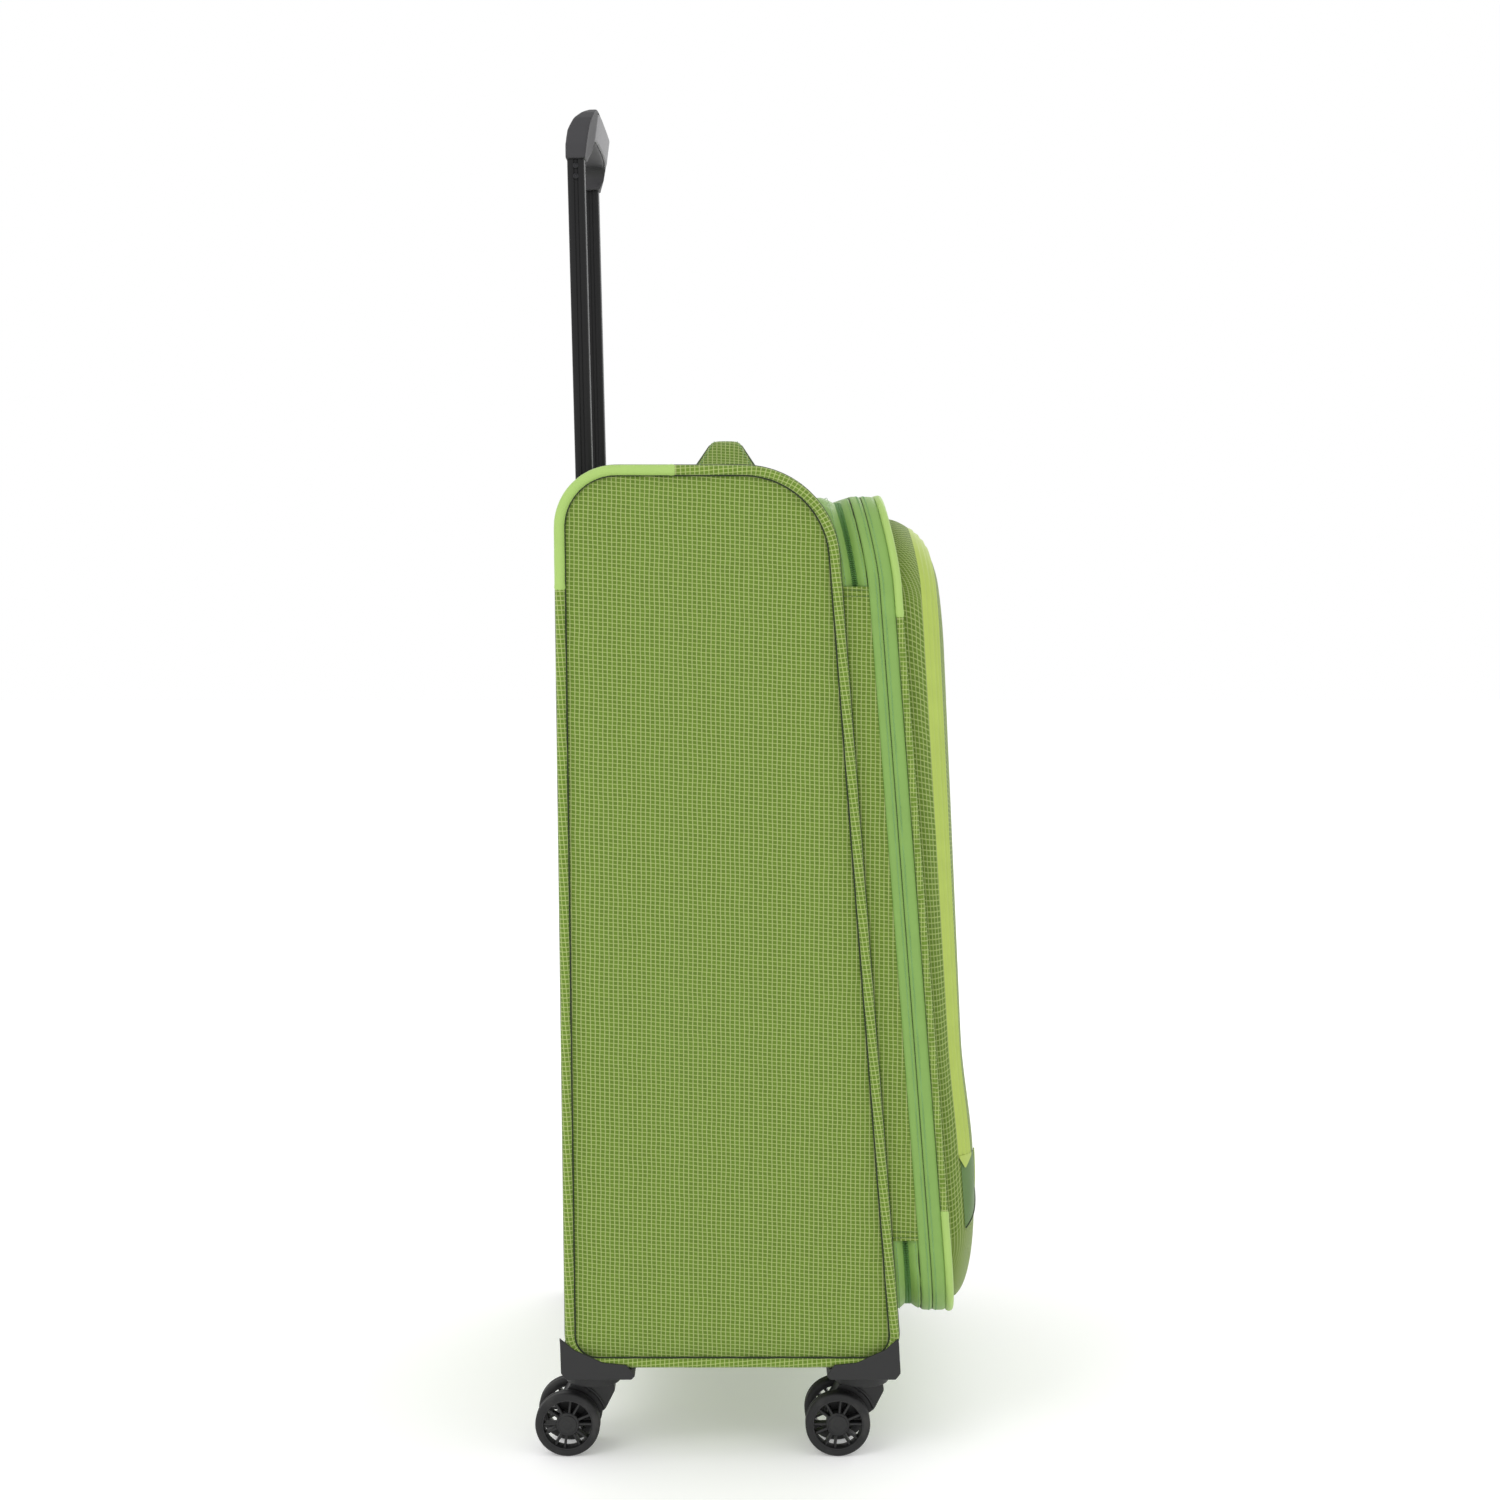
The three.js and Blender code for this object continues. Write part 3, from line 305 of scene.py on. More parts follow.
def checked_cloth(name, colours, sizes, brightness=1.0):
    """Green cloth crossed by pale threads."""
    graph = Graph(name)
    along, across, both = graph.cloth_space()
    drift = graph.noise(0.035, 2.0, both)
    column = (along + (drift - 0.5) * 1.8) / (sizes.column_pitch * 1000)
    row = (across + along * 0.087 + (drift.out("Color") - 0.5) * 1.6) / (sizes.row_pitch * 1000)
    edge = 1 - sizes.thread_width / sizes.column_pitch
    masks = []
    for place_in_cell, strength in ((column, 0.84), (row, 0.92)):
        near = ((place_in_cell.math("FRACT") - 0.5).math("ABSOLUTE")) * 2.0
        masks.append((graph.step(near, edge - 0.08, edge + 0.08), strength))
    wear = graph.noise(0.9, 3.0, both)
    cell_vector = graph.add("ShaderNodeCombineXYZ", {}, {0: column.math("FLOOR"), 1: row.math("FLOOR")})
    cell = graph.add("ShaderNodeTexWhiteNoise", {"noise_dimensions": "2D"}, {"Vector": cell_vector})
    threads = (along * (2 * math.pi / 0.52)).math("SINE") * (across * (2 * math.pi / 0.52)).math("SINE")
    tone = 0.90 + cell * 0.14 + wear * 0.10 + threads * 0.05
    colour = graph.shade(tuple(brightness * c for c in colours.cloth), tone)
    pale_column = graph.shade(tuple(brightness * c for c in colours.cloth_column), 0.9 + wear * 0.2)
    pale_row = tuple(brightness * c for c in colours.cloth_row)
    for (mask, strength), pale in ((masks[1], pale_row), (masks[0], pale_column)):
        colour = graph.mix(mask * (strength * (0.75 + wear * 0.5)), colour, pale)
    height = masks[0][0] * 0.5 + masks[1][0] * 0.45 + threads * 0.22 + wear * 0.3
    roughness = 0.74 + wear * 0.2 - masks[0][0] * 0.06
    extra = {"Sheen Weight": 0.18, "Sheen Roughness": 0.5, "Specular IOR Level": 0.3}
    return graph.finish(colour, roughness, height, 0.00022, 0.7, extra)


def satin_cloth(name, colour, rib=0.9, gloss=0.42, mottle=0.16):
    """Smooth ribbed tape with a soft shine."""
    graph = Graph(name)
    along, across, both = graph.cloth_space()
    ribs = (across * (2 * math.pi / rib)).math("SINE")
    grain = (along * (2 * math.pi / 0.6)).math("SINE")
    cloud = graph.noise(0.06, 3.0, both)
    fine = graph.noise(1.6, 2.0, both)
    tone = (1 - mottle * 0.75) + cloud * mottle + fine * (mottle * 0.5) + ribs * 0.02
    tinted = graph.shade(colour, tone)
    height = ribs * 0.35 + grain * 0.15 + fine * 0.4
    roughness = gloss + fine * 0.16 + ribs * 0.02
    extra = {"Sheen Weight": 0.15, "Sheen Roughness": 0.35, "Specular IOR Level": 0.45}
    return graph.finish(tinted, roughness, height, 0.00016, 0.55, extra)


def plain_thread(name, colour, gloss=0.5):
    """Twisted sewing thread or zip coil."""
    graph = Graph(name)
    space = graph.object_space()
    twist = graph.noise(900.0, 2.0, space)
    cloud = graph.noise(30.0, 2.0, space)
    colour = graph.shade(colour, 0.86 + twist * 0.2 + cloud * 0.1)
    extra = {"Sheen Weight": 0.1, "Specular IOR Level": 0.5}
    return graph.finish(colour, gloss + twist * 0.14, twist, 0.0001, 0.5, extra)


def moulded_plastic(name, colour, gloss=0.42, scuff=0.5):
    """Moulded plastic with a fine grain and lighter scuffs on its edges."""
    graph = Graph(name)
    space = graph.object_space()
    pits = graph.noise(1400.0, 2.0, space)
    cloud = graph.noise(26.0, 4.0, space)
    streak = graph.noise(240.0, 3.0, space, 0.7)
    edge = graph.step(graph.add("ShaderNodeNewGeometry", {}, {}, output="Pointiness"), 0.54, 0.62)
    scuffs = edge * graph.step(streak, 0.45, 0.7) * scuff
    worn = tuple(min(1.0, c * 2.2 + 0.02) for c in colour)
    tinted = graph.mix(scuffs, graph.shade(colour, 0.86 + cloud * 0.28), worn)
    roughness = gloss + cloud * 0.16 + pits * 0.08 + scuffs * 0.12
    return graph.finish(tinted, roughness, pits * 0.7 + streak * 0.3, 0.00008, 0.5)


def tyre_rubber(name, colour):
    """Hard rubber with dust and fine rolling marks."""
    graph = Graph(name)
    space = graph.object_space()
    fine = graph.noise(900.0, 3.0, space)
    dust = graph.step(graph.noise(60.0, 4.0, space), 0.46, 0.72)
    tinted = graph.mix(dust * 0.3, colour, (0.09, 0.088, 0.084))
    roughness = 0.55 + dust * 0.2 + fine * 0.08
    return graph.finish(tinted, roughness, fine, 0.00012, 0.5, {"Specular IOR Level": 0.45})


def brushed_metal(name, colour, gloss=0.28, metal=1.0):
    """Metal with fine marks drawn along one direction."""
    graph = Graph(name)
    space = graph.object_space()
    drawn = graph.add("ShaderNodeVectorMath", {"operation": "MULTIPLY"}, {0: space, 1: (1.0, 1.0, 0.02)})
    marks = graph.noise(2600.0, 3.0, drawn)
    cloud = graph.noise(14.0, 3.0, space)
    tinted = graph.shade(colour, 0.84 + marks * 0.18 + cloud * 0.14)
    roughness = gloss + marks * 0.16 + cloud * 0.08
    return graph.finish(tinted, roughness, marks, 0.00003, 0.4, {"Metallic": metal})


def lining_cloth(name, colour):
    """Plain woven lining with a small diamond figure."""
    graph = Graph(name)
    along, across, both = graph.cloth_space()
    first = ((along + across) / 9.0).math("FRACT") - 0.5
    second = ((along - across) / 9.0).math("FRACT") - 0.5
    line = 1 - graph.step(first.math("ABSOLUTE").math("MINIMUM", second.math("ABSOLUTE")), 0.03, 0.09)
    cloud = graph.noise(0.05, 3.0, both)
    fine = graph.noise(1.8, 2.0, both)
    tinted = graph.mix(line * 0.35, graph.shade(colour, 0.84 + cloud * 0.18 + fine * 0.12),
                       tuple(0.55 * c for c in colour))
    extra = {"Sheen Weight": 0.15, "Specular IOR Level": 0.3}
    return graph.finish(tinted, 0.66 + fine * 0.2, fine * 0.6 + line * 0.4, 0.0002, 0.5, extra)


def mesh_net(name, colour):
    """Knitted net: the holes between its threads let light through."""
    graph = Graph(name)
    along, across, both = graph.cloth_space()
    first = (((along + across) / 3.2).math("FRACT") - 0.5).math("ABSOLUTE")
    second = (((along - across) / 3.2).math("FRACT") - 0.5).math("ABSOLUTE")
    thread = 1 - graph.step(first.math("MINIMUM", second), 0.10, 0.17)
    fine = graph.noise(2.0, 2.0, both)
    tinted = graph.shade(colour, 0.8 + fine * 0.4)
    return graph.finish(tinted, 0.7 + fine * 0.15, thread + fine * 0.3, 0.0002, 0.5,
                        {"Specular IOR Level": 0.3}, alpha=thread)


def pale_floor(name):
    """Plain pale studio floor with a hardly visible grain."""
    graph = Graph(name)
    space = graph.object_space()
    grain = graph.noise(3.0, 2.0, space)
    tinted = graph.shade((0.86, 0.86, 0.86), 0.99 + grain * 0.02)
    extra = {"Specular IOR Level": 0.2, "Emission Color": (1, 1, 1), "Emission Strength": 0.22}
    return graph.finish(tinted, 0.75 + grain * 0.1, extra=extra)


def make_finishes(scene):
    """Every material of the suitcase, by the name of its finish."""
    colours, sizes = scene.suitcase_colours, scene.suitcase_sizes
    return {
        "checked": checked_cloth("checked_fabric", colours, sizes),
        "piping": checked_cloth("piping_fabric", colours, sizes, brightness=1.12),
        "satin": satin_cloth("satin_band", tuple(colours.satin)),
        "sleeve": satin_cloth("satin_sleeve", tuple(colours.sleeve), mottle=0.1),
        "lime": satin_cloth("lime_band", tuple(colours.lime), rib=1.4, gloss=0.48),
        "leaf": satin_cloth("leaf_panel", tuple(colours.leaf), rib=0.7, gloss=0.55),
        "thread": plain_thread("seam_thread", linear(120, 168, 110)),
        "stitch": plain_thread("hem_thread", linear(66, 104, 44)),
        # Painted shade: a near-black green for cords and strips laid in seams and gaps where there is only
        # shadow.
        "seam": plain_thread("seam_shadow", linear(30, 42, 14), 0.8),
        "dark_thread": plain_thread("dark_thread", linear(52, 70, 36), 0.6),
        "coil": plain_thread("zip_coil", linear(72, 124, 46), 0.34),
        "binding": satin_cloth("binding", linear(60, 78, 40), rib=0.8, gloss=0.55),
        "plastic": moulded_plastic("black_plastic", tuple(colours.plastic)),
        "rim": moulded_plastic("wheel_plastic", linear(20, 20, 21), gloss=0.34),
        "cap": moulded_plastic("hub_cap", linear(15, 15, 16), gloss=0.3, scuff=0.3),
        "yoke": moulded_plastic("yoke_plastic", linear(17, 17, 18), gloss=0.36),
        "grip": moulded_plastic("grip_plastic", linear(44, 43, 46), gloss=0.42),
        "grey": moulded_plastic("grey_plastic", tuple(colours.grey), gloss=0.44),
        "rubber": tyre_rubber("tyre_rubber", linear(18, 18, 19)),
        "steel": brushed_metal("bright_steel", linear(196, 198, 202)),
        "rivet": brushed_metal("dark_rivet", linear(54, 54, 56), 0.36, metal=0.8),
        "tube": brushed_metal("black_tube", linear(20, 20, 21), 0.34, metal=0.5),
        "lining": lining_cloth("lining", tuple(colours.lining)),
        "net": mesh_net("mesh_net", linear(40, 42, 46)),
    }


FINISHES = {}


# ---------------------------------------------------------------------------------------
# Outlines.


def rounded_loop(corners, radii, arc_steps, edge_steps):
    """Closed outline through rounded corners, with the same number of points at any inset."""
    corners = np.asarray(corners, float)
    count = len(corners)
    arcs = []
    for i, corner in enumerate(corners):
        before = corners[i - 1] - corner
        after = corners[(i + 1) % count] - corner
        before /= np.linalg.norm(before)
        after /= np.linalg.norm(after)
        half = math.acos(np.clip(before @ after, -1, 1)) / 2
        radius = max(radii[i], 0.05)
        middle = before + after
        centre = corner + middle / np.linalg.norm(middle) * radius / math.sin(half)
        start = corner + before * radius / math.tan(half) - centre
        turn = before[0] * after[1] - before[1] * after[0]
        sweep = (math.pi - 2 * half) * (-1 if turn > 0 else 1)
        angles = np.linspace(0, sweep, arc_steps + 1)
        cos, sin = np.cos(angles), np.sin(angles)
        arcs.append(centre + np.stack([start[0] * cos - start[1] * sin, start[0] * sin + start[1] * cos], 1))
    points = []
    for i in range(count):
        points.append(arcs[i])
        here, there = arcs[i][-1], arcs[(i + 1) % count][0]
        share = np.linspace(0, 1, edge_steps[i] + 1)[1:-1, None]
        points.append(here + (there - here) * share)
    return np.concatenate(points)


def run_length(points, closed=True):
    """Distance along a run of points; a closed one also gives its whole length."""
    ends = np.concatenate([points, points[:1]]) if closed else points
    return np.concatenate([[0], np.cumsum(np.linalg.norm(np.diff(ends, axis=0), axis=1))])


def resample(points, pitch, closed=True):
    """The same run with its points about a pitch apart."""
    ends = np.concatenate([points, points[:1]]) if closed else points
    length = run_length(ends, False)
    count = max(2, int(round(length[-1] / pitch)))
    at = np.linspace(0, length[-1], count + 1)
    if closed:
        at = at[:-1]
    return np.stack([np.interp(at, length, ends[:, k]) for k in range(points.shape[1])], 1)


def outward(points, closed=True):
    """Unit normals of a run in its plane, to the right of its direction."""
    if closed:
        tangent = np.roll(points, -1, 0) - np.roll(points, 1, 0)
    else:
        tangent = np.gradient(points, axis=0)
    tangent /= np.linalg.norm(tangent, axis=1)[:, None]
    return np.stack([tangent[:, 1], -tangent[:, 0]], 1)


def front_x(z):
    """Front of the body at a height."""
    return BACK_X + BODY_DEPTH_FOOT - SLOPE * (z - BODY_BOTTOM)


def level_x(level, z):
    """A level of the lid stack at a height: the top of the lid bends back."""
    over = np.maximum(0, z - (LID_TOP - LID_BEND_LENGTH)) / LID_BEND_LENGTH
    return front_x(z) + level - LID_BEND * over ** 1.4


def body_loop(inset, arc_steps=14, edges=(60, 170, 34, 190)):
    """Side outline of the body, x and z: foot, front, top, back, anticlockwise from the back foot."""
    low, high = BODY_BOTTOM + inset, BODY_TOP - inset
    front = inset / math.cos(math.atan(SLOPE))
    corners = [
        (BACK_X + BACK_LEAN + inset, low), (front_x(low) - front, low), (front_x(high) - front, high),
        (BACK_X + inset, high),
    ]
    radii = [r - inset for r in (CORNER_FOOT, CORNER_FOOT, CORNER_TOP_FRONT, CORNER_TOP_BACK)]
    return rounded_loop(corners, radii, arc_steps, edges)


def lid_loop(inset, arc_steps=24, edges=(90, 130, 90, 130)):
    """Face outline of the lid, y and z, anticlockwise seen from the front, starting on the hinge side."""
    half = SIDE - LID_SIDE_INSET - inset
    low, high = LID_BOTTOM + inset, LID_TOP - inset
    corners = [(-half, low), (half, low), (half, high), (-half, high)]
    return rounded_loop(corners, [LID_CORNER - inset] * 4, arc_steps, edges)


def body_front_x(z, inset=1.0):
    """Front surface of the body with its rounded foot and top."""
    loop = body_loop(inset)
    right = loop[loop[:, 0] > 0]
    middle = (right[:, 1] > BODY_BOTTOM + inset + 0.01) & (right[:, 1] < BODY_TOP - inset - 0.01)
    right = right[middle]
    right = right[np.argsort(right[:, 1])]
    return np.interp(z, right[:, 1], right[:, 0])


def smooth_step(share):
    """Eases a share from 0 to 1 in and out."""
    return share * share * (3 - 2 * share)


def full_turn(count):
    """Angles of a full turn in equal steps."""
    return np.arange(count) * 2 * math.pi / count


def waves(points, size, seed, octaves=3):
    """Smooth random field about zero, for cloth that isn't quite even."""
    rng = np.random.default_rng(seed)
    points = np.asarray(points, float)
    total = np.zeros(points.shape[:-1])
    for octave in range(octaves):
        for _ in range(5):
            direction = rng.normal(size=points.shape[-1])
            direction /= np.linalg.norm(direction)
            phase = rng.uniform(0, 2 * math.pi)
            total += np.sin(points @ direction * 2 * math.pi * 1.7 ** octave / size + phase) / 1.8 ** octave
    return total / 5


def waves_along(length, size, seed):
    """The same field along a run, from the distances along it."""
    return waves(np.stack([length, length * 0], 1), size, seed)


# ---------------------------------------------------------------------------------------
# Meshes.


class Piece:
    """Collects the faces of one piece, with the cloth's own millimetres on every corner."""

    def __init__(self):
        self.points = []
        self.faces = []
        self.weave = []
        self.finish = []
        self.count = 0

    def add(self, points, faces, weave, finish=0):
        """Points, faces as rows of indices, and a weave value for every corner."""
        self.points.append(np.asarray(points, float).reshape(-1, 3))
        faces = np.asarray(faces)
        self.faces.append(faces + self.count)
        self.weave.append(np.asarray(weave, float).reshape(-1, 2))
        self.finish.append(np.full(len(faces), finish))
        self.count += len(self.points[-1])
        return self

    def skin(self, grid, weave=None, close_rows=False, close_columns=False, finish=0, keep=None):
        """A grid of points, rows by columns. Keep picks faces by their row and column."""
        grid = np.asarray(grid, float)
        rows, columns = grid.shape[:2]
        r = np.arange(rows if close_rows else rows - 1)
        c = np.arange(columns if close_columns else columns - 1)
        r, c = (a.ravel() for a in np.meshgrid(r, c, indexing="ij"))
        if keep is not None:
            used = keep(r, c)
            r, c = r[used], c[used]
        r2, c2 = (r + 1) % rows, (c + 1) % columns
        faces = np.stack([r * columns + c, r * columns + c2, r2 * columns + c2, r2 * columns + c], -1)
        if weave is None:
            weave = flat_weave(grid, close_rows, close_columns)
        weave = np.asarray(weave, float)
        corners = np.stack([weave[r, c], weave[r, c + 1], weave[r + 1, c + 1], weave[r + 1, c]], 1)
        return self.add(grid.reshape(-1, 3), faces, corners, finish)

    def fan(self, ring, weave, finish=0):
        """Closes a ring by triangles to its middle. Weave holds the millimetres of the ring's points."""
        count = len(ring)
        index, hub = np.arange(count), np.full(count, count)
        faces = np.stack([index, (index + 1) % count, hub, hub], 1)
        ring, weave = (np.concatenate([values, values.mean(0)[None]]) for values in (ring, weave))
        return self.add(ring, faces, weave[faces], finish)

    def beads(self, centres, along, normal, size, finish=0, sides=6, rings=3):
        """Small rounded bars: stitches, zip teeth and studs. Size is length, width and height."""
        centres, along, normal = (np.asarray(a, float) for a in (centres, along, normal))
        if not len(centres):
            return self
        along = along / np.linalg.norm(along, axis=1)[:, None]
        across = np.cross(normal, along)
        across /= np.linalg.norm(across, axis=1)[:, None]
        up = np.cross(along, across)
        turn = full_turn(sides)
        shape = [(-1.0, 0.0, 0.0)]
        for k in range(rings):
            t = -0.72 + 1.44 * k / (rings - 1)
            width = (1 - t ** 4) ** 0.5
            shape += [(t, width * math.cos(a), width * math.sin(a)) for a in turn]
        shape.append((1.0, 0.0, 0.0))
        shape = np.array(shape) / 2
        size = np.broadcast_to(np.asarray(size, float), (len(centres), 3))
        local = shape[None] * size[:, None]
        points = centres[:, None] + local[..., :1] * along[:, None] + local[..., 1:2] * across[:, None]
        points = points + local[..., 2:] * up[:, None]
        faces = []
        for k in range(rings - 1):
            for s in range(sides):
                a, b = 1 + k * sides + s, 1 + k * sides + (s + 1) % sides
                faces.append((a, b, b + sides, a + sides))
        last = 1 + (rings - 1) * sides
        for s in range(sides):
            s2 = (s + 1) % sides
            faces.append((0, 1 + s2, 1 + s, 1 + s))
            faces.append((last + s, last + s2, last + sides, last + sides))
        faces = np.array(faces)
        each = len(shape)
        everyone = (faces[None] + each * np.arange(len(centres))[:, None, None]).reshape(-1, 4)
        weave = np.zeros((len(everyone) * 4, 2))
        return self.add(points.reshape(-1, 3), everyone, weave, finish)

    def build(self, name, finishes, body, slot, nodes=(), sharp=None):
        """Makes the object, gives it its finishes and lets it ride on its body when the body is one name."""
        mesh = bpy.data.meshes.new(name)
        every = np.concatenate(self.faces)
        # A triangle is kept as a face of four whose last two corners are the same one.
        unlike = np.concatenate([np.ones((len(every), 1), bool), every[:, 1:] != every[:, :-1]], 1)
        faces = [face[used].tolist() for face, used in zip(every, unlike)]
        mesh.from_pydata(place(np.concatenate(self.points)).tolist(), [], faces)
        weave = np.concatenate(self.weave).reshape(-1, 4, 2)[unlike]
        layer = mesh.attributes.new("weave", "FLOAT_VECTOR", "CORNER")
        values = np.zeros((len(weave), 3), np.float32)
        values[:, :2] = weave
        layer.data.foreach_set("vector", values.ravel())
        for finish in finishes:
            mesh.materials.append(FINISHES[finish])
        mesh.polygons.foreach_set("material_index", np.concatenate(self.finish).astype(np.int32))
        mesh.polygons.foreach_set("use_smooth", np.ones(len(mesh.polygons), bool))
        mesh.update()
        outward_faces(mesh)
        if sharp:
            mesh.set_sharp_from_angle(angle=math.radians(sharp))
        obj = bpy.data.objects.new(name, mesh)
        bpy.context.scene.collection.objects.link(obj)
        return settle(obj, body, nodes)


def settle(obj, body, nodes=()):
    """Gives a piece its body and hides the CAD nodes it stands for."""
    if nodes:
        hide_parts(*nodes)
    if isinstance(body, str):
        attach(obj, body)
    elif body:
        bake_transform(obj)
    return obj


def outward_faces(mesh):
    work = bmesh.new()
    work.from_mesh(mesh)
    bmesh.ops.recalc_face_normals(work, faces=work.faces)
    work.to_mesh(mesh)
    work.free()


def flat_weave(grid, close_rows=False, close_columns=False):
    """Lengths along the middle row and down the middle column of a grid."""
    rows, columns = grid.shape[:2]
    across = run_length(grid[rows // 2], close_columns)
    down = run_length(grid[:, columns // 2], close_rows)
    return weave_grid(across, down)


def weave_grid(across, down):
    """The cloth's millimetres on a grid, from those of its columns and of its rows."""
    return np.stack(np.meshgrid(across, down), -1)


def face_weave(grid):
    """The cloth's millimetres on closed rings of a face: they are y and z."""
    return np.concatenate([grid[..., 1:], grid[:, :1, 1:]], 1)


def moulded(name, node, finish, body, voxel, soften):
    """A CAD solid with its edges melted round, as a moulding has. Voxel is in millimetres."""
    obj = bpy.data.objects.new(name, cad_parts[node].data.copy())
    bpy.context.scene.collection.objects.link(obj)
    remesh = obj.modifiers.new("remesh", "REMESH")
    remesh.mode = "VOXEL"
    remesh.voxel_size = voxel / 1000
    remesh.use_smooth_shade = True
    smooth = obj.modifiers.new("smooth", "SMOOTH")
    smooth.factor = 0.5
    smooth.iterations = soften
    bpy.context.view_layer.update()
    graph = bpy.context.evaluated_depsgraph_get()
    done = bpy.data.meshes.new_from_object(obj.evaluated_get(graph))
    obj.modifiers.clear()
    obj.data = done
    done.materials.clear()
    done.materials.append(FINISHES[finish])
    done.name = name
    done.polygons.foreach_set("use_smooth", np.ones(len(done.polygons), bool))
    return settle(obj, body, [node])


def lathe(profile, centre, steps):
    """Points of a shape turned about Y: profile is distance along the axis and radius."""
    profile = np.asarray(profile, float)
    turn = full_turn(steps)
    ring = np.cos(turn)[:, None] * AXIS_X - np.sin(turn)[:, None] * np.array([0.0, 0.0, 1.0])
    return np.asarray(centre, float) + profile[:, None, :1] * AXIS_Y + profile[:, None, 1:] * ring


def loop_tube(path, out, side_axis, radius, sides):
    """Grid of a round cord: its path, its outward directions and the axis or axes across them."""
    turn = full_turn(sides)
    radius = np.broadcast_to(np.asarray(radius, float), (len(path),))
    offset = np.cos(turn)[None, :, None] * out[:, None] + np.sin(turn)[None, :, None] * side_axis
    return path[:, None] + radius[:, None, None] * offset


def tube_weave(path, radius, sides, closed=True):
    """The cloth's millimetres on a round cord: along it and then round it."""
    around = np.arange(sides + 1) * 2 * math.pi * radius / sides
    return weave_grid(around, run_length(path, closed))[..., ::-1]


def cord(path, centre, out, side_axis, radius, girth, sides, closed=True):
    """A round cord as a piece. Girth is the radius that its cloth is laid out for."""
    tube = loop_tube(centre, out, side_axis, radius, sides)
    return Piece().skin(tube, tube_weave(path, girth, sides, closed), closed, True)


def sleeve_radius(count, pitch, radius, hem, hem_at, hem_wide, tuck):
    """Radius along a sleeve: a raised hem near both ends, tucked in at the very end."""
    from_end = np.minimum(np.arange(count), np.arange(count)[::-1]) * pitch
    return radius + hem * np.exp(-((from_end - hem_at) / hem_wide) ** 2) - tuck * np.exp(-from_end / 0.6)


def put(points, x=None, y=None, z=None):
    """Three-dimensional points from plane ones: give the missing coordinate."""
    points = np.asarray(points, float)
    if y is not None:
        return np.stack([points[:, 0], np.broadcast_to(y, len(points)), points[:, 1]], 1)
    if x is not None:
        return np.stack([np.broadcast_to(x, len(points)), points[:, 0], points[:, 1]], 1)
    return np.stack([points[:, 0], points[:, 1], np.broadcast_to(z, len(points))], 1)


def lid_points(outline, level):
    """A run on the lid's face outline at a level of the stack."""
    return put(outline, x=level_x(level, outline[:, 1]))


def lid_run(inset, level, pitch, part=None):
    """Places, directions and outward normals at an even pitch round the lid."""
    loop = resample(lid_loop(inset), pitch)
    normal = outward(loop)
    points = lid_points(loop, level)
    along = np.roll(points, -1, 0) - np.roll(points, 1, 0)
    normal = put(normal, x=0.0)
    if part is not None:
        used = part(loop)
        points, along, normal = points[used], along[used], normal[used]
    return points, along, normal


def beside_hinge(loop):
    """Where the zip runs: all round the lid but for the cloth hinge."""
    return ~((loop[:, 0] < -SIDE / 2) & (loop[:, 1] > HINGE_LOW) & (loop[:, 1] < HINGE_HIGH))


def zigzag(points, along, normal, reach):
    """Turns every other place to the other side of its line, for zigzag stitches."""
    along = along / np.linalg.norm(along, axis=1)[:, None]
    across = np.cross(normal, along)
    way = np.where(np.arange(len(points)) % 2, 1.0, -1.0)[:, None]
    return points, along + across * way * reach


LOOP = lid_loop(0.0)
LOOP_LENGTH = run_length(LOOP)


def lid_band(piece, profile, finish=0, seed=1, ripple=0.0, ripple_size=9.0, keep=None, close=True):
    """A strip round the lid. Profile rows are level and inset; a closed profile gives a solid band."""
    grid = np.array([lid_points(lid_loop(inset), level) for level, inset in profile])
    if ripple:
        swell = waves_along(LOOP_LENGTH[:-1], ripple_size, seed)
        middle = np.sin(np.linspace(0, math.pi, len(profile)))[:, None]
        grid = grid + (middle * swell[None] * ripple)[..., None] * put(outward(LOOP), x=0.0)
    weave = weave_grid(LOOP_LENGTH, run_length(np.array(profile), close))
    return piece.skin(grid, weave, close, True, finish, keep)


def skip_hinge(r, c):
    """Leaves out the columns of the lid outline that the cloth hinge takes."""
    middle = (LOOP[c % len(LOOP)] + LOOP[(c + 1) % len(LOOP)]) / 2
    return beside_hinge(middle)


def disc(piece, rings, level_of):
    """Rings of plane outlines joined into a sheet: level_of gives x for each ring's own points."""
    grid = np.array([put(ring, x=level_of(k, ring)) for k, ring in enumerate(rings)])
    piece.skin(grid, face_weave(grid), False, True)
    piece.fan(grid[-1], grid[-1][:, 1:])


def rect_ring(half, low, high, radius):
    """Rounded oblong, y and z, with its points in the same order as the lid's outline."""
    corners = [(-half, low), (half, low), (half, high), (-half, high)]
    radius = min(radius, 0.98 * half, 0.49 * (high - low))
    return rounded_loop(corners, [radius] * 4, 24, (90, 130, 90, 130))


# ---------------------------------------------------------------------------------------
# Case: wrap, side panels, piping and lining.

FRAME_LOW = BODY_BOTTOM + 24
FRAME_HIGH = BODY_TOP - 20


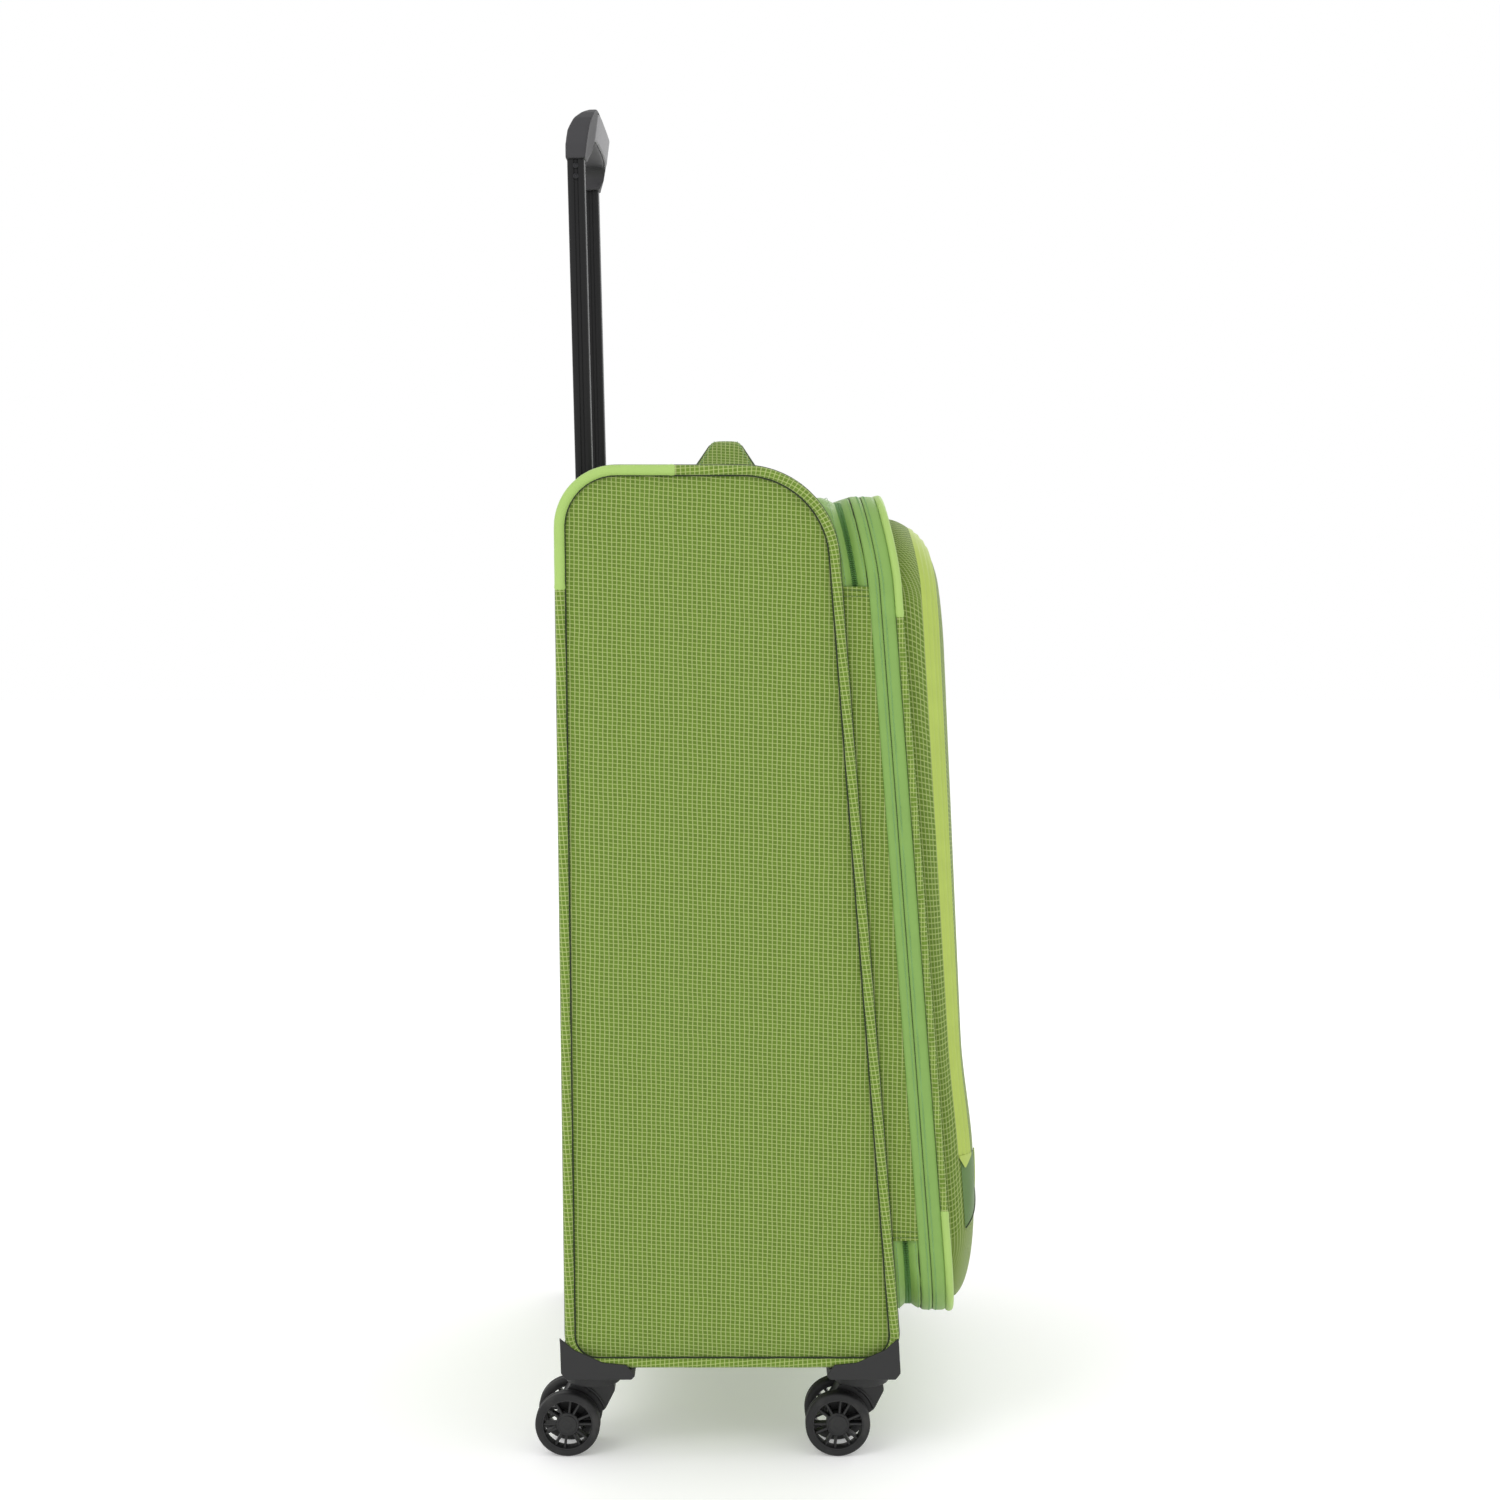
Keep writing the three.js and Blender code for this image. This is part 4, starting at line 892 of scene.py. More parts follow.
def wrap_cloth():
    """The cloth round the back, top and foot, with the frame of the opening in front."""
    piece = Piece()
    loop = resample(body_loop(1.0), 3.4)
    front = (loop[:, 0] > 0) & (loop[:, 1] > FRAME_LOW) & (loop[:, 1] < FRAME_HIGH)
    where = np.flatnonzero(front)
    path = np.concatenate([
        [(float(body_front_x(FRAME_HIGH)), FRAME_HIGH)], loop[where[-1] + 1:], loop[:where[0]],
        [(float(body_front_x(FRAME_LOW)), FRAME_LOW)],
    ])
    normal = outward(path, False)
    half = SIDE - WRAP_INSET
    across = np.linspace(-half, half, 64)
    y, _ = np.meshgrid(across, path[:, 0])
    x, z = (np.broadcast_to(values, y.shape) for values in (path[:, :1], path[:, 1:]))
    sag = waves(np.stack([x, y, z], -1), 170.0, 5) * 1.1
    seam = 1.8 * np.exp((np.abs(y) - half) / 4.0)
    drop = (sag - 1.0) * np.clip((half - np.abs(y)) / 40, 0, 1) - seam
    ends = np.clip(np.minimum(np.arange(len(path)), np.arange(len(path))[::-1]) / 8, 0, 1)[:, None]
    drop = drop * ends - seam * (1 - ends)
    grid = np.stack([path[:, :1] + normal[:, :1] * drop, y, path[:, 1:] + normal[:, 1:] * drop], -1)
    middle = (grid[:-1, :-1] + grid[1:, 1:]) / 2
    bezel_low, bezel_high = node_box("trolley_bezel")

    def keep(r, c):
        spot = middle[r, c]
        inside = (np.abs(spot[:, 1]) < bezel_high[1] - 3) & (spot[:, 2] > bezel_low[2] + 3)
        return ~(inside & (spot[:, 0] < bezel_high[0] - 3))

    piece.skin(grid, weave_grid(across, run_length(path, False)), keep=keep)
    inner = lid_loop(14.0)
    outer = rect_ring(half, FRAME_LOW, FRAME_HIGH, 1.0)
    rows = []
    for share in np.linspace(0, 1, 9):
        ring = outer + (inner - outer) * share
        seam = 1.8 * np.exp((np.abs(ring[:, 0]) - half) / 4.0)
        rows.append(put(ring, x=body_front_x(ring[:, 1]) - seam))
    for back in (1.2, 3.0):
        rows.append(put(inner, x=body_front_x(inner[:, 1]) - back))
    grid = np.array(rows)
    piece.skin(grid, face_weave(grid), False, True)
    piece.build("case_wrap_cloth", ["checked"], "case", "checked_fabric", ["body_wrap"])


def clustered(low, high, count):
    """Steps that lie closer together at both ends."""
    t = np.linspace(0, 1, count)
    return low + (high - low) * (0.45 * t + 0.55 * (0.5 - 0.5 * np.cos(math.pi * t)))


def nearest_distance(points, outline):
    """Distance of each point from a dense outline."""
    best = np.full(len(points), np.inf)
    for chunk in np.array_split(outline, 12):
        gap = np.sqrt(((points[:, None] - chunk[None]) ** 2).sum(-1)).min(1)
        best = np.minimum(best, gap)
    return best


def side_cloth(name, way, recess, ease, quilting):
    """Crowned side panel. Way is -1 on the hinge side and 1 on the lock side."""
    outline = body_loop(6.6)
    low, high = outline[:, 1].min(), outline[:, 1].max()
    heights = clustered(low, high, 210)
    chains = []
    for part in (outline[:, 0] < -30, outline[:, 0] > -30):
        chain = outline[part & (outline[:, 1] > low + 1e-3) & (outline[:, 1] < high - 1e-3)]
        chain = chain[np.argsort(chain[:, 1])]
        chains.append(np.interp(heights, chain[:, 1], chain[:, 0]))
    share = clustered(0, 1, 90)
    x = chains[0][:, None] + (chains[1] - chains[0])[:, None] * share
    z = np.broadcast_to(heights[:, None], x.shape)
    flat = np.stack([x, z], -1).reshape(-1, 2)
    gap = nearest_distance(flat, resample(outline, 2.5)).reshape(x.shape)
    fall = (1 - np.clip(gap / 26.0, 0, 1)) ** 2.3
    pucker = waves(flat, 21.0, 9, 2).reshape(x.shape) * np.exp(-gap / 9.0) * 0.5
    quilt = waves(flat, 210.0, 3, 2).reshape(x.shape) * np.clip(gap / 40, 0, 1)
    depth = SIDE - 1.5 + ease - recess * fall + pucker + quilt * quilting
    piece = Piece().skin(np.stack([x, way * depth, z], -1), np.stack([-way * x, z], -1))
    piece.build(f"side_cloth_{name}", ["checked"], "case", "checked_fabric", [f"side_panel_{name}"])


def side_piping(name, way):
    """Cloth-covered cord round a side panel, two dark cords of painted shade in the seams on both sides of it,
    and the satin sleeve on its top corner.
    """
    path = resample(body_loop(4.0), 3.0)
    out = put(outward(path), y=0.0)
    centre = put(path, y=way * (SIDE - 4.0))
    length = run_length(path)
    radius = 3.95 + waves_along(length[:-1], 60.0, 11) * 0.18
    piping = cord(path, centre, out, AXIS_Y, radius, 4.0, 16)
    piping.build(f"side_piping_cloth_{name}", ["piping"], "case", "piping", [f"side_piping_{name}"])
    # Painted shade: a dark cord inside the piping and one outside it stand for the shadow in the two seams.
    for part, inset, back in (("side", 7.9, 3.6), ("wrap", 0.4, 8.0)):
        line = resample(body_loop(inset), 3.0)
        middle = put(line, y=way * (SIDE - back))
        seam = cord(line, middle, put(outward(line), y=0.0), AXIS_Y, 0.9, 0.9, 8)
        seam.build(f"{part}_seam_{name}", ["seam"], "case", "piping")
    on_top = (path[:, 0] < -40.0) & (path[:, 1] > BODY_TOP - 60)
    on_back = (path[:, 0] < -60) & (path[:, 1] > CORNER_SLEEVE_END)
    used = np.flatnonzero(on_top | on_back)
    radius = sleeve_radius(len(used), 3.0, 4.25, 0.35, 2.5, 1.6, 0.5)
    radius = radius + waves_along(length[used], 26.0, 12) * 0.12
    sleeve = cord(path[used], centre[used], out[used], AXIS_Y, radius, 4.3, 18, False)
    sleeve.build(f"corner_sleeve_{name}", ["sleeve"], "case", "satin_fabric")


def inner_back_x(z):
    """Cloth over the trolley tubes, seen from inside."""
    share = (z - BODY_BOTTOM) / BODY_HEIGHT
    return BACK_X + 41.7 - 8.0 * share


def lining_cloth_piece():
    """The lining as one tub, from the rim of the opening round the walls to the back."""
    piece = Piece()
    low, high, half = BODY_BOTTOM + LINING_RISE, BODY_TOP - LINING_RISE, SIDE - LINING_INSET
    wall = rect_ring(half, low, high, 34.0)
    rim = lid_loop(16.0)
    rows = []
    for share in np.linspace(0, 1, 7):
        ring = rim + (wall - rim) * share
        x = body_front_x(np.clip(ring[:, 1], low, high), 5.4) - 0.6
        rows.append(put(ring, x=x))
    for share in np.linspace(0, 1, 26)[1:]:
        front = body_front_x(np.clip(wall[:, 1], low, high), 5.4) - 0.6
        x = front + (inner_back_x(wall[:, 1]) - front) * share
        sag = waves(np.stack([x, wall[:, 0], wall[:, 1]], 1), 130.0, 21) * 1.4 * math.sin(math.pi * share)
        rows.append(put(wall - outward(wall) * np.abs(sag)[:, None], x=x))
    centre = np.array([0.0, (low + high) / 2])
    for share in np.linspace(0, 0.96, 16)[1:]:
        ring = wall + (centre - wall) * share
        x = inner_back_x(ring[:, 1]) + 1.2 * np.abs(waves(ring, 160.0, 22)) * math.sin(math.pi * share)
        rows.append(put(ring, x=x))
    grid = np.array(rows)
    weave = weave_grid(run_length(wall), run_length(grid[:, 40], False))
    back = len(rows) - 15
    weave[back:] = face_weave(grid[back:])
    piece.skin(grid, weave, False, True)
    piece.build("lining_tub", ["lining"], "case", "lining", ["lining"])


# ---------------------------------------------------------------------------------------
# Lid.


# Profiles of the two satin bands, as level and inset.
REAR_BAND = [
    (20.6, 3.0), (20.5, 1.2), (21.1, 0.1), (22.8, -0.25), (25.0, -0.35), (27.2, -0.25), (28.6, 0.1),
    (29.1, 0.8), (29.1, 3.0),
]
FRONT_BAND = [
    (29.5, 3.0), (29.5, 0.8), (30.0, 0.1), (31.6, -0.25), (34.6, -0.4), (37.4, -0.3), (39.4, 0.2),
    (40.2, 1.4), (40.2, 3.0),
]

# Direction in which the levels of the lid stack rise, per level.
LEVEL_STEP = np.array([1.0, 0.0, SLOPE]) / (1 + SLOPE ** 2)


def lid_rings(insets):
    """Outlines of the lid's face one inside the other."""
    half = SIDE - LID_SIDE_INSET
    return [rect_ring(half - i, LID_BOTTOM + i, LID_TOP - i, max(LID_CORNER - i, 14)) for i in insets]


def level_foot(level):
    """A point halfway up the lid stack at a level."""
    return np.array([level_x(level, BODY_MIDDLE), 0.0, BODY_MIDDLE])


def lid_pieces():
    """Bands, expansion zip, piping with sleeves, face and inner net of the lid."""
    for name, profile, ripple, ripple_size, seed, inset, level in (
        ("rear", REAR_BAND, 0.25, 40.0, 31, -0.42, 26.6), ("front", FRONT_BAND, 0.3, 46.0, 32, -0.45, 32.2),
    ):
        band = Piece()
        lid_band(band, profile, ripple=ripple, ripple_size=ripple_size, seed=seed)
        points, along, normal = lid_run(inset, level, 1.55)
        band.beads(*zigzag(points, along, normal, 0.75), normal, (2.1, 0.42, 0.42), 1, sides=4)
        nodes = [f"lid_{name}_band"]
        band.build(f"{name}_band_satin", ["satin", "thread"], f"lid_{name}", "satin_fabric", nodes)

    coil = Piece()
    lid_band(coil, [(28.6, 1.2), (29.0, 0.75), (29.6, 0.75), (30.0, 1.2), (29.3, 2.0)], 0, 33)
    points, along, normal = lid_run(0.7, 29.3, 1.7)
    coil.beads(points, np.cross(normal, along), normal, (1.5, 0.8, 0.7), 1, sides=4)
    coil.build("expansion_coil", ["dark_thread", "binding"], "lid_rear", "satin_fabric")

    gusset = Piece()
    profile = [(21.5, 3.6), (23.5, 4.0), (26, 5.6), (29.5, 6.2), (33, 5.6), (36, 4.0), (38.5, 3.6)]
    lid_band(gusset, profile, ripple=0.5, ripple_size=30.0, seed=34, close=False)
    foot = level_foot(22.0)
    gusset.build("gusset_cloth", ["checked"], ("lid_rear", "lid_front", foot, foot + 16 * LEVEL_STEP),
                 "checked_fabric", ["expansion_gusset"])

    loop = resample(lid_loop(2.0), 3.2)
    centre = lid_points(loop, 43.3)
    out = put(outward(loop), x=0.0)
    radius = 2.95 + waves_along(run_length(loop)[:-1], 50.0, 35) * 0.12
    piping = cord(loop, centre, out, AXIS_X, radius, 3.0, 14)
    piping.build("lid_piping_cloth", ["piping"], "lid_front", "piping", ["lid_piping"])
    for name, part in (("top", loop[:, 1] > SLEEVE_TOP), ("foot", loop[:, 1] < SLEEVE_FOOT)):
        used = np.flatnonzero(part)
        breaks = np.flatnonzero(np.diff(used) > 1)
        if len(breaks):
            used = np.concatenate([used[breaks[0] + 1:], used[:breaks[0] + 1]])
        radius = sleeve_radius(len(used), 3.2, 3.3, 0.3, 2.6, 1.7, 0.4)
        sleeve = cord(loop[used], centre[used], out[used], AXIS_X, radius, 3.3, 16, False)
        sleeve.build(f"lid_sleeve_{name}", ["sleeve"], "lid_front", "satin_fabric")

    face = Piece()
    rings = lid_rings([5.4, 7, 10, 16, 28, 50, 85, 130, 180, 215])

    def face_front(k, ring):
        return level_x(43.2 + 0.5 * min(1, k / 3), ring[:, 1]) + 0.3 * waves(ring, 90.0, 36)

    disc(face, rings, face_front)
    disc(face, rings, lambda k, ring: level_x(40.8, ring[:, 1]))
    face.skin(np.array([lid_points(rings[0], level) for level in (40.8, 43.2)]), None, False, True)
    face.build("lid_face_cloth", ["checked"], "lid_front", "checked_fabric", ["lid_panel"])

    net = Piece()
    rings = lid_rings([6.0, 9, 14, 24, 50, 90, 140, 200, 225])
    disc(net, rings, lambda k, ring: level_x(35.8, ring[:, 1]) - 1.5 * min(1, k / 4))
    net.build("net_pocket", ["net"], "lid_front", "mesh", ["lid_mesh_pocket"])
    edge = Piece()
    lid_band(edge, [(34.6, 4.0), (34.6, 11.0), (35.2, 12.0), (36.4, 11.0), (36.4, 4.0)])
    edge.build("net_binding", ["binding"], "lid_front", "satin_fabric")


def sewn_zip_edge(piece, stitch_inset, stitch_level, tooth_level, stitch, tooth):
    """One row of stitches and one row of teeth along a tape of the main zip."""
    points, along, normal = lid_run(stitch_inset, stitch_level, 2.9, beside_hinge)
    piece.beads(points, along, normal, (stitch, 0.5, 0.5), 1, sides=4)
    points, along, normal = lid_run(5.2, tooth_level, tooth, beside_hinge)
    piece.beads(points, np.cross(normal, along), normal, (3.0, 1.05, 1.5), 2, sides=6)


def zip_pieces(stitch, tooth):
    """Tapes and teeth of the main zip, from the length of a stitch and the pitch of the teeth."""
    case_tape = Piece()
    shares = np.linspace(0, 1, 8)
    insets = (3.2, 1.6, 0.9, 0.9, 1.6, 2.8, 4.2, 5.4)
    rows = []
    for share, inset in zip(shares, insets):
        loop = lid_loop(inset)
        base = body_front_x(loop[:, 1]) - 1.0
        rows.append(put(loop, x=base + (level_x(8.6, loop[:, 1]) - base) * share))
    swell = waves_along(LOOP_LENGTH[:-1], 17.0, 41) * 0.55
    grid = np.array(rows) + (np.sin(shares * math.pi)[:, None] * swell)[..., None] * put(outward(LOOP), x=0.0)
    weave = weave_grid(LOOP_LENGTH, run_length(grid[:, 10], False))
    case_tape.skin(grid, weave, False, True, 0, skip_hinge)
    sewn_zip_edge(case_tape, 0.7, 3.0, 9.0, stitch, tooth)
    # Painted shade: a thin strip in the near-black seam finish behind the case's row of teeth darkens the gap
    # as shadow would.
    lid_band(case_tape, [(8.4, 6.3), (9.9, 6.3), (9.9, 6.9), (8.4, 6.9)], 3, keep=skip_hinge)
    finishes = ["satin", "thread", "coil", "seam"]
    case_tape.build("case_zip_tape", finishes, "case", "satin_fabric", ["zip_tape_case"])

    lid_tape = Piece()
    profile = [(11.9, 5.6), (13.0, 4.6), (14.6, 3.2), (16.4, 2.0), (18.2, 1.4), (19.6, 1.4), (20.6, 2.4)]
    lid_band(lid_tape, profile, ripple=0.5, ripple_size=18.0, seed=42, keep=skip_hinge, close=False)
    sewn_zip_edge(lid_tape, 1.2, 18.2, 11.5, stitch, tooth)
    # Painted shadow: a wavy row of dark beads in the seam finish along the tape's outer edge stands for the
    # shadow line where the tape meets the rear band.
    points, along, normal = lid_run(1.3, 20.4, 2.4, beside_hinge)
    shadow_wave = waves(points, 26.0, 44)[:, None] * 0.9 * AXIS_X
    lid_tape.beads(points + shadow_wave, along, normal, (3.6, 0.9, 0.7), 3, sides=5)
    lid_tape.build("lid_zip_tape", finishes, "lid_rear", "satin_fabric", ["zip_tape_lid"])


def hinge_cloth():
    """The checked cloth that joins case and lid where the zip doesn't run."""
    hinge = Piece()
    heights = np.linspace(HINGE_LOW - 1, HINGE_HIGH + 1, 190)
    levels, proud = np.array([
        (-1.5, -1.2), (0.2, 0.0), (1.0, 0.55), (2.4, 0.75), (3.8, 0.55), (4.4, 0.1), (6.5, 0.3), (8.5, 0.5),
        (10.4, 0.55), (12.4, 0.5), (14.4, 0.3), (16.2, 0.1), (16.8, 0.55), (18.2, 0.75), (19.6, 0.55),
        (20.6, 0.0), (21.2, -1.2),
    ]).T
    level, z = np.meshgrid(levels, heights)
    swell = waves(np.stack([z, level * 3], -1), 34.0, 43) * 0.35 * np.clip(1 - np.abs(level - 10) / 12, 0, 1)
    x = level_x(level, z)
    y = -(SIDE - LID_SIDE_INSET - 0.5 + proud[None] + swell)
    hinge.skin(np.stack([x, y, z], -1), np.stack([x, z], -1))
    for height in (HINGE_HIGH - 1.6, HINGE_HIGH - 6.4, HINGE_LOW + 1.6, HINGE_LOW + 6.4):
        at = np.arange(0.6, 20.0, 2.1)
        count = len(at)
        side = np.full(count, -(SIDE - LID_SIDE_INSET + 0.35))
        centres = np.stack([level_x(at, height), side, np.full(count, height)], 1)
        along, normal = np.tile(AXIS_X, (count, 1)), np.tile(-AXIS_Y, (count, 1))
        hinge.beads(centres, along, normal, (1.6, 0.6, 0.6), 1, sides=4)
    foot = level_foot(4.6)
    hinge.build("hinge_cloth", ["checked", "stitch"], ("case", "lid_rear", foot, foot + 10.8 * LEVEL_STEP),
                "checked_fabric", ["hinge_strip"])


# ---------------------------------------------------------------------------------------
# Pocket.


POCKET_BASE = 44.6
FLAP_ANGLE = math.asin(0.86)
BAND_ANGLE = math.asin(0.5)


def pocket_depth(z):
    """How far the pocket stands out at a height, before it is hollowed."""
    share = (z - LID_BOTTOM) / (LID_TOP - LID_BOTTOM)
    return POCKET_DEPTH_FOOT + (POCKET_DEPTH_TOP - POCKET_DEPTH_FOOT) * share


def pocket_hollow(z):
    """How far the flap's stretch of the pocket sinks in, most just above the fold."""
    up = np.clip((z - FLAP_LOW) / 90, 0, 1)
    down = np.clip((LID_TOP - 100 - z) / 330, 0, 1)
    return 4.5 * smooth_step(up) * down


def pocket_ring(share):
    """Outline of the pocket: share 0 is its foot on the lid and 1 the edge of its front."""
    half = SIDE - LID_SIDE_INSET - 12 - 42 * share
    low = LID_BOTTOM + 6 + 84 * share
    high = LID_TOP - 17 - 52 * share
    return rect_ring(half, low, high, POCKET_CORNER)


def pocket_grid(angles, shares, ridge=None):
    """Rows of the pocket's surface: first by angle round its edge, then by share across its front."""
    rows, weaves = [], []
    edge = pocket_ring(1.0)
    for angle in angles:
        ring = pocket_ring(1 - math.cos(angle))
        rise = (pocket_depth(ring[:, 1]) - pocket_hollow(ring[:, 1])) * math.sin(angle)
        if ridge is not None:
            rise = rise + ridge(angle)
        rows.append(put(ring, x=level_x(POCKET_BASE, ring[:, 1]) + rise))
        weaves.append(edge + outward(edge) * (math.pi / 2 - angle) * 38.0)
    for share in shares:
        ring = pocket_ring(share)
        inner = min(1, (share - 1) / 0.9)
        low = np.clip((FLAP_LOW + 30 - ring[:, 1]) / 90, 0, 1)
        swell = (0.8 + 4.2 * low) * (1 - (1 - inner) ** 2)
        soft = 0.6 * waves(ring, 120.0, 51) * min(1, (share - 1) / 0.6)
        rise = pocket_depth(ring[:, 1]) - pocket_hollow(ring[:, 1]) + swell + soft
        rows.append(put(ring, x=level_x(POCKET_BASE, ring[:, 1]) + rise))
        weaves.append(ring)
    weave = np.array(weaves)
    return np.array(rows), np.concatenate([weave, weave[:, :1]], 1)


def cut_at(piece_object, height, above):
    """Keeps the part of a mesh above or below a height."""
    work = bmesh.new()
    work.from_mesh(piece_object.data)
    bmesh.ops.bisect_plane(
        work, geom=work.verts[:] + work.edges[:] + work.faces[:], plane_co=(0, 0, height / 1000),
        plane_no=(0, 0, 1), clear_inner=above, clear_outer=not above,
    )
    work.to_mesh(piece_object.data)
    work.free()


def pocket_pieces():
    """Gusset, lower bag and flap, the ridged zip band and the leaf panels at its ends."""
    front_shares = [1.05, 1.12, 1.2, 1.3, 1.45, 1.6, 1.8, 2.1, 2.4, 2.8, 3.2, 3.6, 4.0, 4.3]
    low_angles = np.linspace(0, BAND_ANGLE, 8)
    band_angles = np.linspace(BAND_ANGLE, FLAP_ANGLE, 33)
    high_angles = np.linspace(FLAP_ANGLE, math.pi / 2, 7)

    def ridge(angle):
        t = (angle - BAND_ANGLE) / (FLAP_ANGLE - BAND_ANGLE)
        return 0.62 * (math.sin(2 * math.pi * 4 * t - math.pi / 2) + 1) + 0.8 * math.sin(math.pi * t)

    gusset = Piece().skin(*pocket_grid(low_angles, []), False, True)
    gusset.build("pocket_gusset_cloth", ["checked"], "lid_front", "checked_fabric", ["pocket_body"])

    for name, above, body, nodes in (
        ("pocket_bag_cloth", False, "lid_front", []),
        ("pocket_flap_cloth", True, "pocket_flap", ["pocket_flap"]),
    ):
        angles = high_angles if above else [*band_angles[::4], *high_angles[1:]]
        grid, weave = pocket_grid(angles, front_shares)
        front = Piece().skin(grid, weave, False, True).fan(grid[-1], grid[-1][:, 1:])
        obj = front.build(name, ["checked"], body, "checked_fabric", nodes)
        cut_at(obj, FLAP_LOW + (0.3 if above else -0.1), above)

    grid, _ = pocket_grid(band_angles, [], ridge)
    weave = weave_grid(run_length(pocket_ring(0.3)), np.linspace(0, 12, len(band_angles)))
    band = Piece().skin(grid, weave, False, True)
    obj = band.build("pocket_band_lime", ["lime"], "lid_front", "lime_tape", ["pocket_zip_band"])
    cut_at(obj, FLAP_LOW, True)
    for name, way in SIDES:
        leaf_panel(name, way)


def pocket_side(way, angle, z, proud):
    """A point on the flank of the pocket, by angle and height, and how far it stands out."""
    ring = pocket_ring(1 - math.cos(angle))
    flank = ring[(ring[:, 0] * way > 0) & (ring[:, 1] < BODY_MIDDLE)]
    flank = flank[np.argsort(flank[:, 1])]
    y = np.interp(z, flank[:, 1], flank[:, 0])
    rise = (pocket_depth(z) - pocket_hollow(z)) * math.sin(angle)
    return (level_x(POCKET_BASE, z) + rise + math.sin(angle) * proud, y + way * math.cos(angle) * proud, z)


def leaf_panel(name, way):
    """Smooth panel below the end of the zip band, with its edging, partly a dark cord of painted shade, and
    the band's pointed end.
    """
    leaf = Piece()
    start = BAND_ANGLE + 0.06
    across = np.linspace(0, 1, 14)
    rows, edge = [], []
    for down in np.linspace(0, 1, 26):
        z = FLAP_LOW + 1 - 58 * down
        reach = 1.0 if down < 0.62 else max(0.02, 1 - ((down - 0.62) / 0.38) ** 1.6)
        last = start + (math.pi / 2 - 0.12 - start) * reach
        rows.append([pocket_side(way, start + (last - start) * t, z, 0.55) for t in across])
        edge.append(pocket_side(way, last, z, 0.8))
    leaf.skin(np.array(rows))
    edge = np.array(edge)
    along = np.gradient(edge, axis=0)
    out = np.tile(way * AXIS_Y, (len(edge), 1))
    side = np.cross(out, along)
    side /= np.linalg.norm(side, axis=1)[:, None]
    # Painted shade: the lower part of the edging, where the panel tapers, is a dark cord in the seam finish.
    for part, finish, radius in ((slice(0, 17), 1, 0.55), (slice(16, 26), 2, 0.6)):
        leaf.skin(loop_tube(edge[part], out[part], side[part][:, None], radius, 8), None, False, True, finish)
    tip = []
    for drop in np.linspace(0, 1, 5):
        line = []
        for t in across:
            low = 9 * min(t / 0.35, (1 - t) / 0.65)
            angle = BAND_ANGLE + (FLAP_ANGLE - BAND_ANGLE) * t
            line.append(pocket_side(way, angle, FLAP_LOW + 2 - (low + 2) * drop, 1.5))
        tip.append(line)
    leaf.skin(np.array(tip), finish=1)
    leaf.build(f"leaf_panel_{name}", ["leaf", "lime", "seam"], "lid_front", "lime_tape")


# ---------------------------------------------------------------------------------------
# Casters.


def template(piece, name):
    """A mesh in metres about its own middle, for pieces that come several times."""
    obj = piece.build(name, [name], None, "black_plastic")
    mesh = obj.data
    bpy.data.objects.remove(obj)
    co = np.zeros(len(mesh.vertices) * 3)
    mesh.vertices.foreach_get("co", co)
    co = co.reshape(-1, 3) - SHIFT / 1000
    mesh.vertices.foreach_set("co", co.ravel())
    mesh.set_sharp_from_angle(angle=math.radians(35))
    mesh.update()
    return mesh


def instance(name, mesh, middle, body, nodes=()):
    """One of several pieces with the same mesh."""
    obj = bpy.data.objects.new(name, mesh)
    bpy.context.scene.collection.objects.link(obj)
    obj.location = place(middle)
    return settle(obj, body, nodes)


def turned(piece, profile, steps, finish=0, centre=(0, 0, 0), close=True):
    """A turned shape about an axis along Y. A closed profile gives a ring."""
    return piece.skin(lathe(profile, centre, steps), None, close, True, finish)


def bar(piece, start, end, width, depth, bevel, finish=0):
    """A straight bar with chamfered edges from start to end, width across and depth along Y."""
    start, end = np.asarray(start, float), np.asarray(end, float)
    along = end - start
    along /= np.linalg.norm(along)
    across = np.cross(AXIS_Y, along)
    w, d, b = width / 2, depth / 2, bevel
    section = [
        (w, d - b), (w - b, d), (-w + b, d), (-w, d - b), (-w, -d + b), (-w + b, -d), (w - b, -d), (w, -d + b),
    ]
    ring = np.array([across * s + AXIS_Y * t for s, t in section])
    grid = np.array([start + ring, start + (end - start) * 0.5 + ring * 0.92, end + ring])
    return piece.skin(grid, None, False, True, finish)


def wheel_meshes():
    """Tyre, rim with paired spokes and hub caps, each about the middle of a wheel."""
    tyre = Piece()
    turned(tyre, [
        (-6.3, 20.6), (-6.5, 21.4), (-6.5, 23.2), (-6.2, 24.6), (-5.4, 25.5), (-4.0, 26.0), (-2.2, 26.0),
        (-1.9, 25.75), (1.9, 25.75), (2.2, 26.0), (4.0, 26.0), (5.4, 25.5), (6.2, 24.6), (6.5, 23.2),
        (6.5, 21.4), (6.3, 20.6), (5.0, 20.3), (-5.0, 20.3),
    ], 96)
    rim = Piece()
    turned(rim, [
        (-6.0, 20.7), (-6.2, 20.2), (-6.0, 19.5), (-5.0, 19.1), (5.0, 19.1), (6.0, 19.5), (6.2, 20.2),
        (6.0, 20.7),
    ], 96)
    turned(rim, [
        (-5.6, 3.4), (-5.6, 7.4), (-5.2, 7.8), (-5.2, 8.8), (-4.6, 9.4), (4.6, 9.4), (5.2, 8.8), (5.2, 7.8),
        (5.6, 7.4), (5.6, 3.4),
    ], 48)
    for pair in range(6):
        for extra in (0, 23):
            angle = math.radians(60 * pair + extra)
            way = np.array([math.cos(angle), 0, math.sin(angle)])
            bar(rim, way * 8.8, way * 19.6, 2.1, 8.6, 0.5)
    cap = Piece()
    dome = [
        (5.3, 7.5), (5.9, 7.3), (6.25, 6.4), (6.45, 5.0), (6.3, 4.4), (6.3, 3.6), (6.5, 3.3), (6.55, 1.8),
        (6.55, 0.02),
    ]
    for way in (1, -1):
        turned(cap, [(way * a, r) for a, r in dome], 40, close=False)
    return template(tyre, "rubber"), template(rim, "rim"), template(cap, "cap")


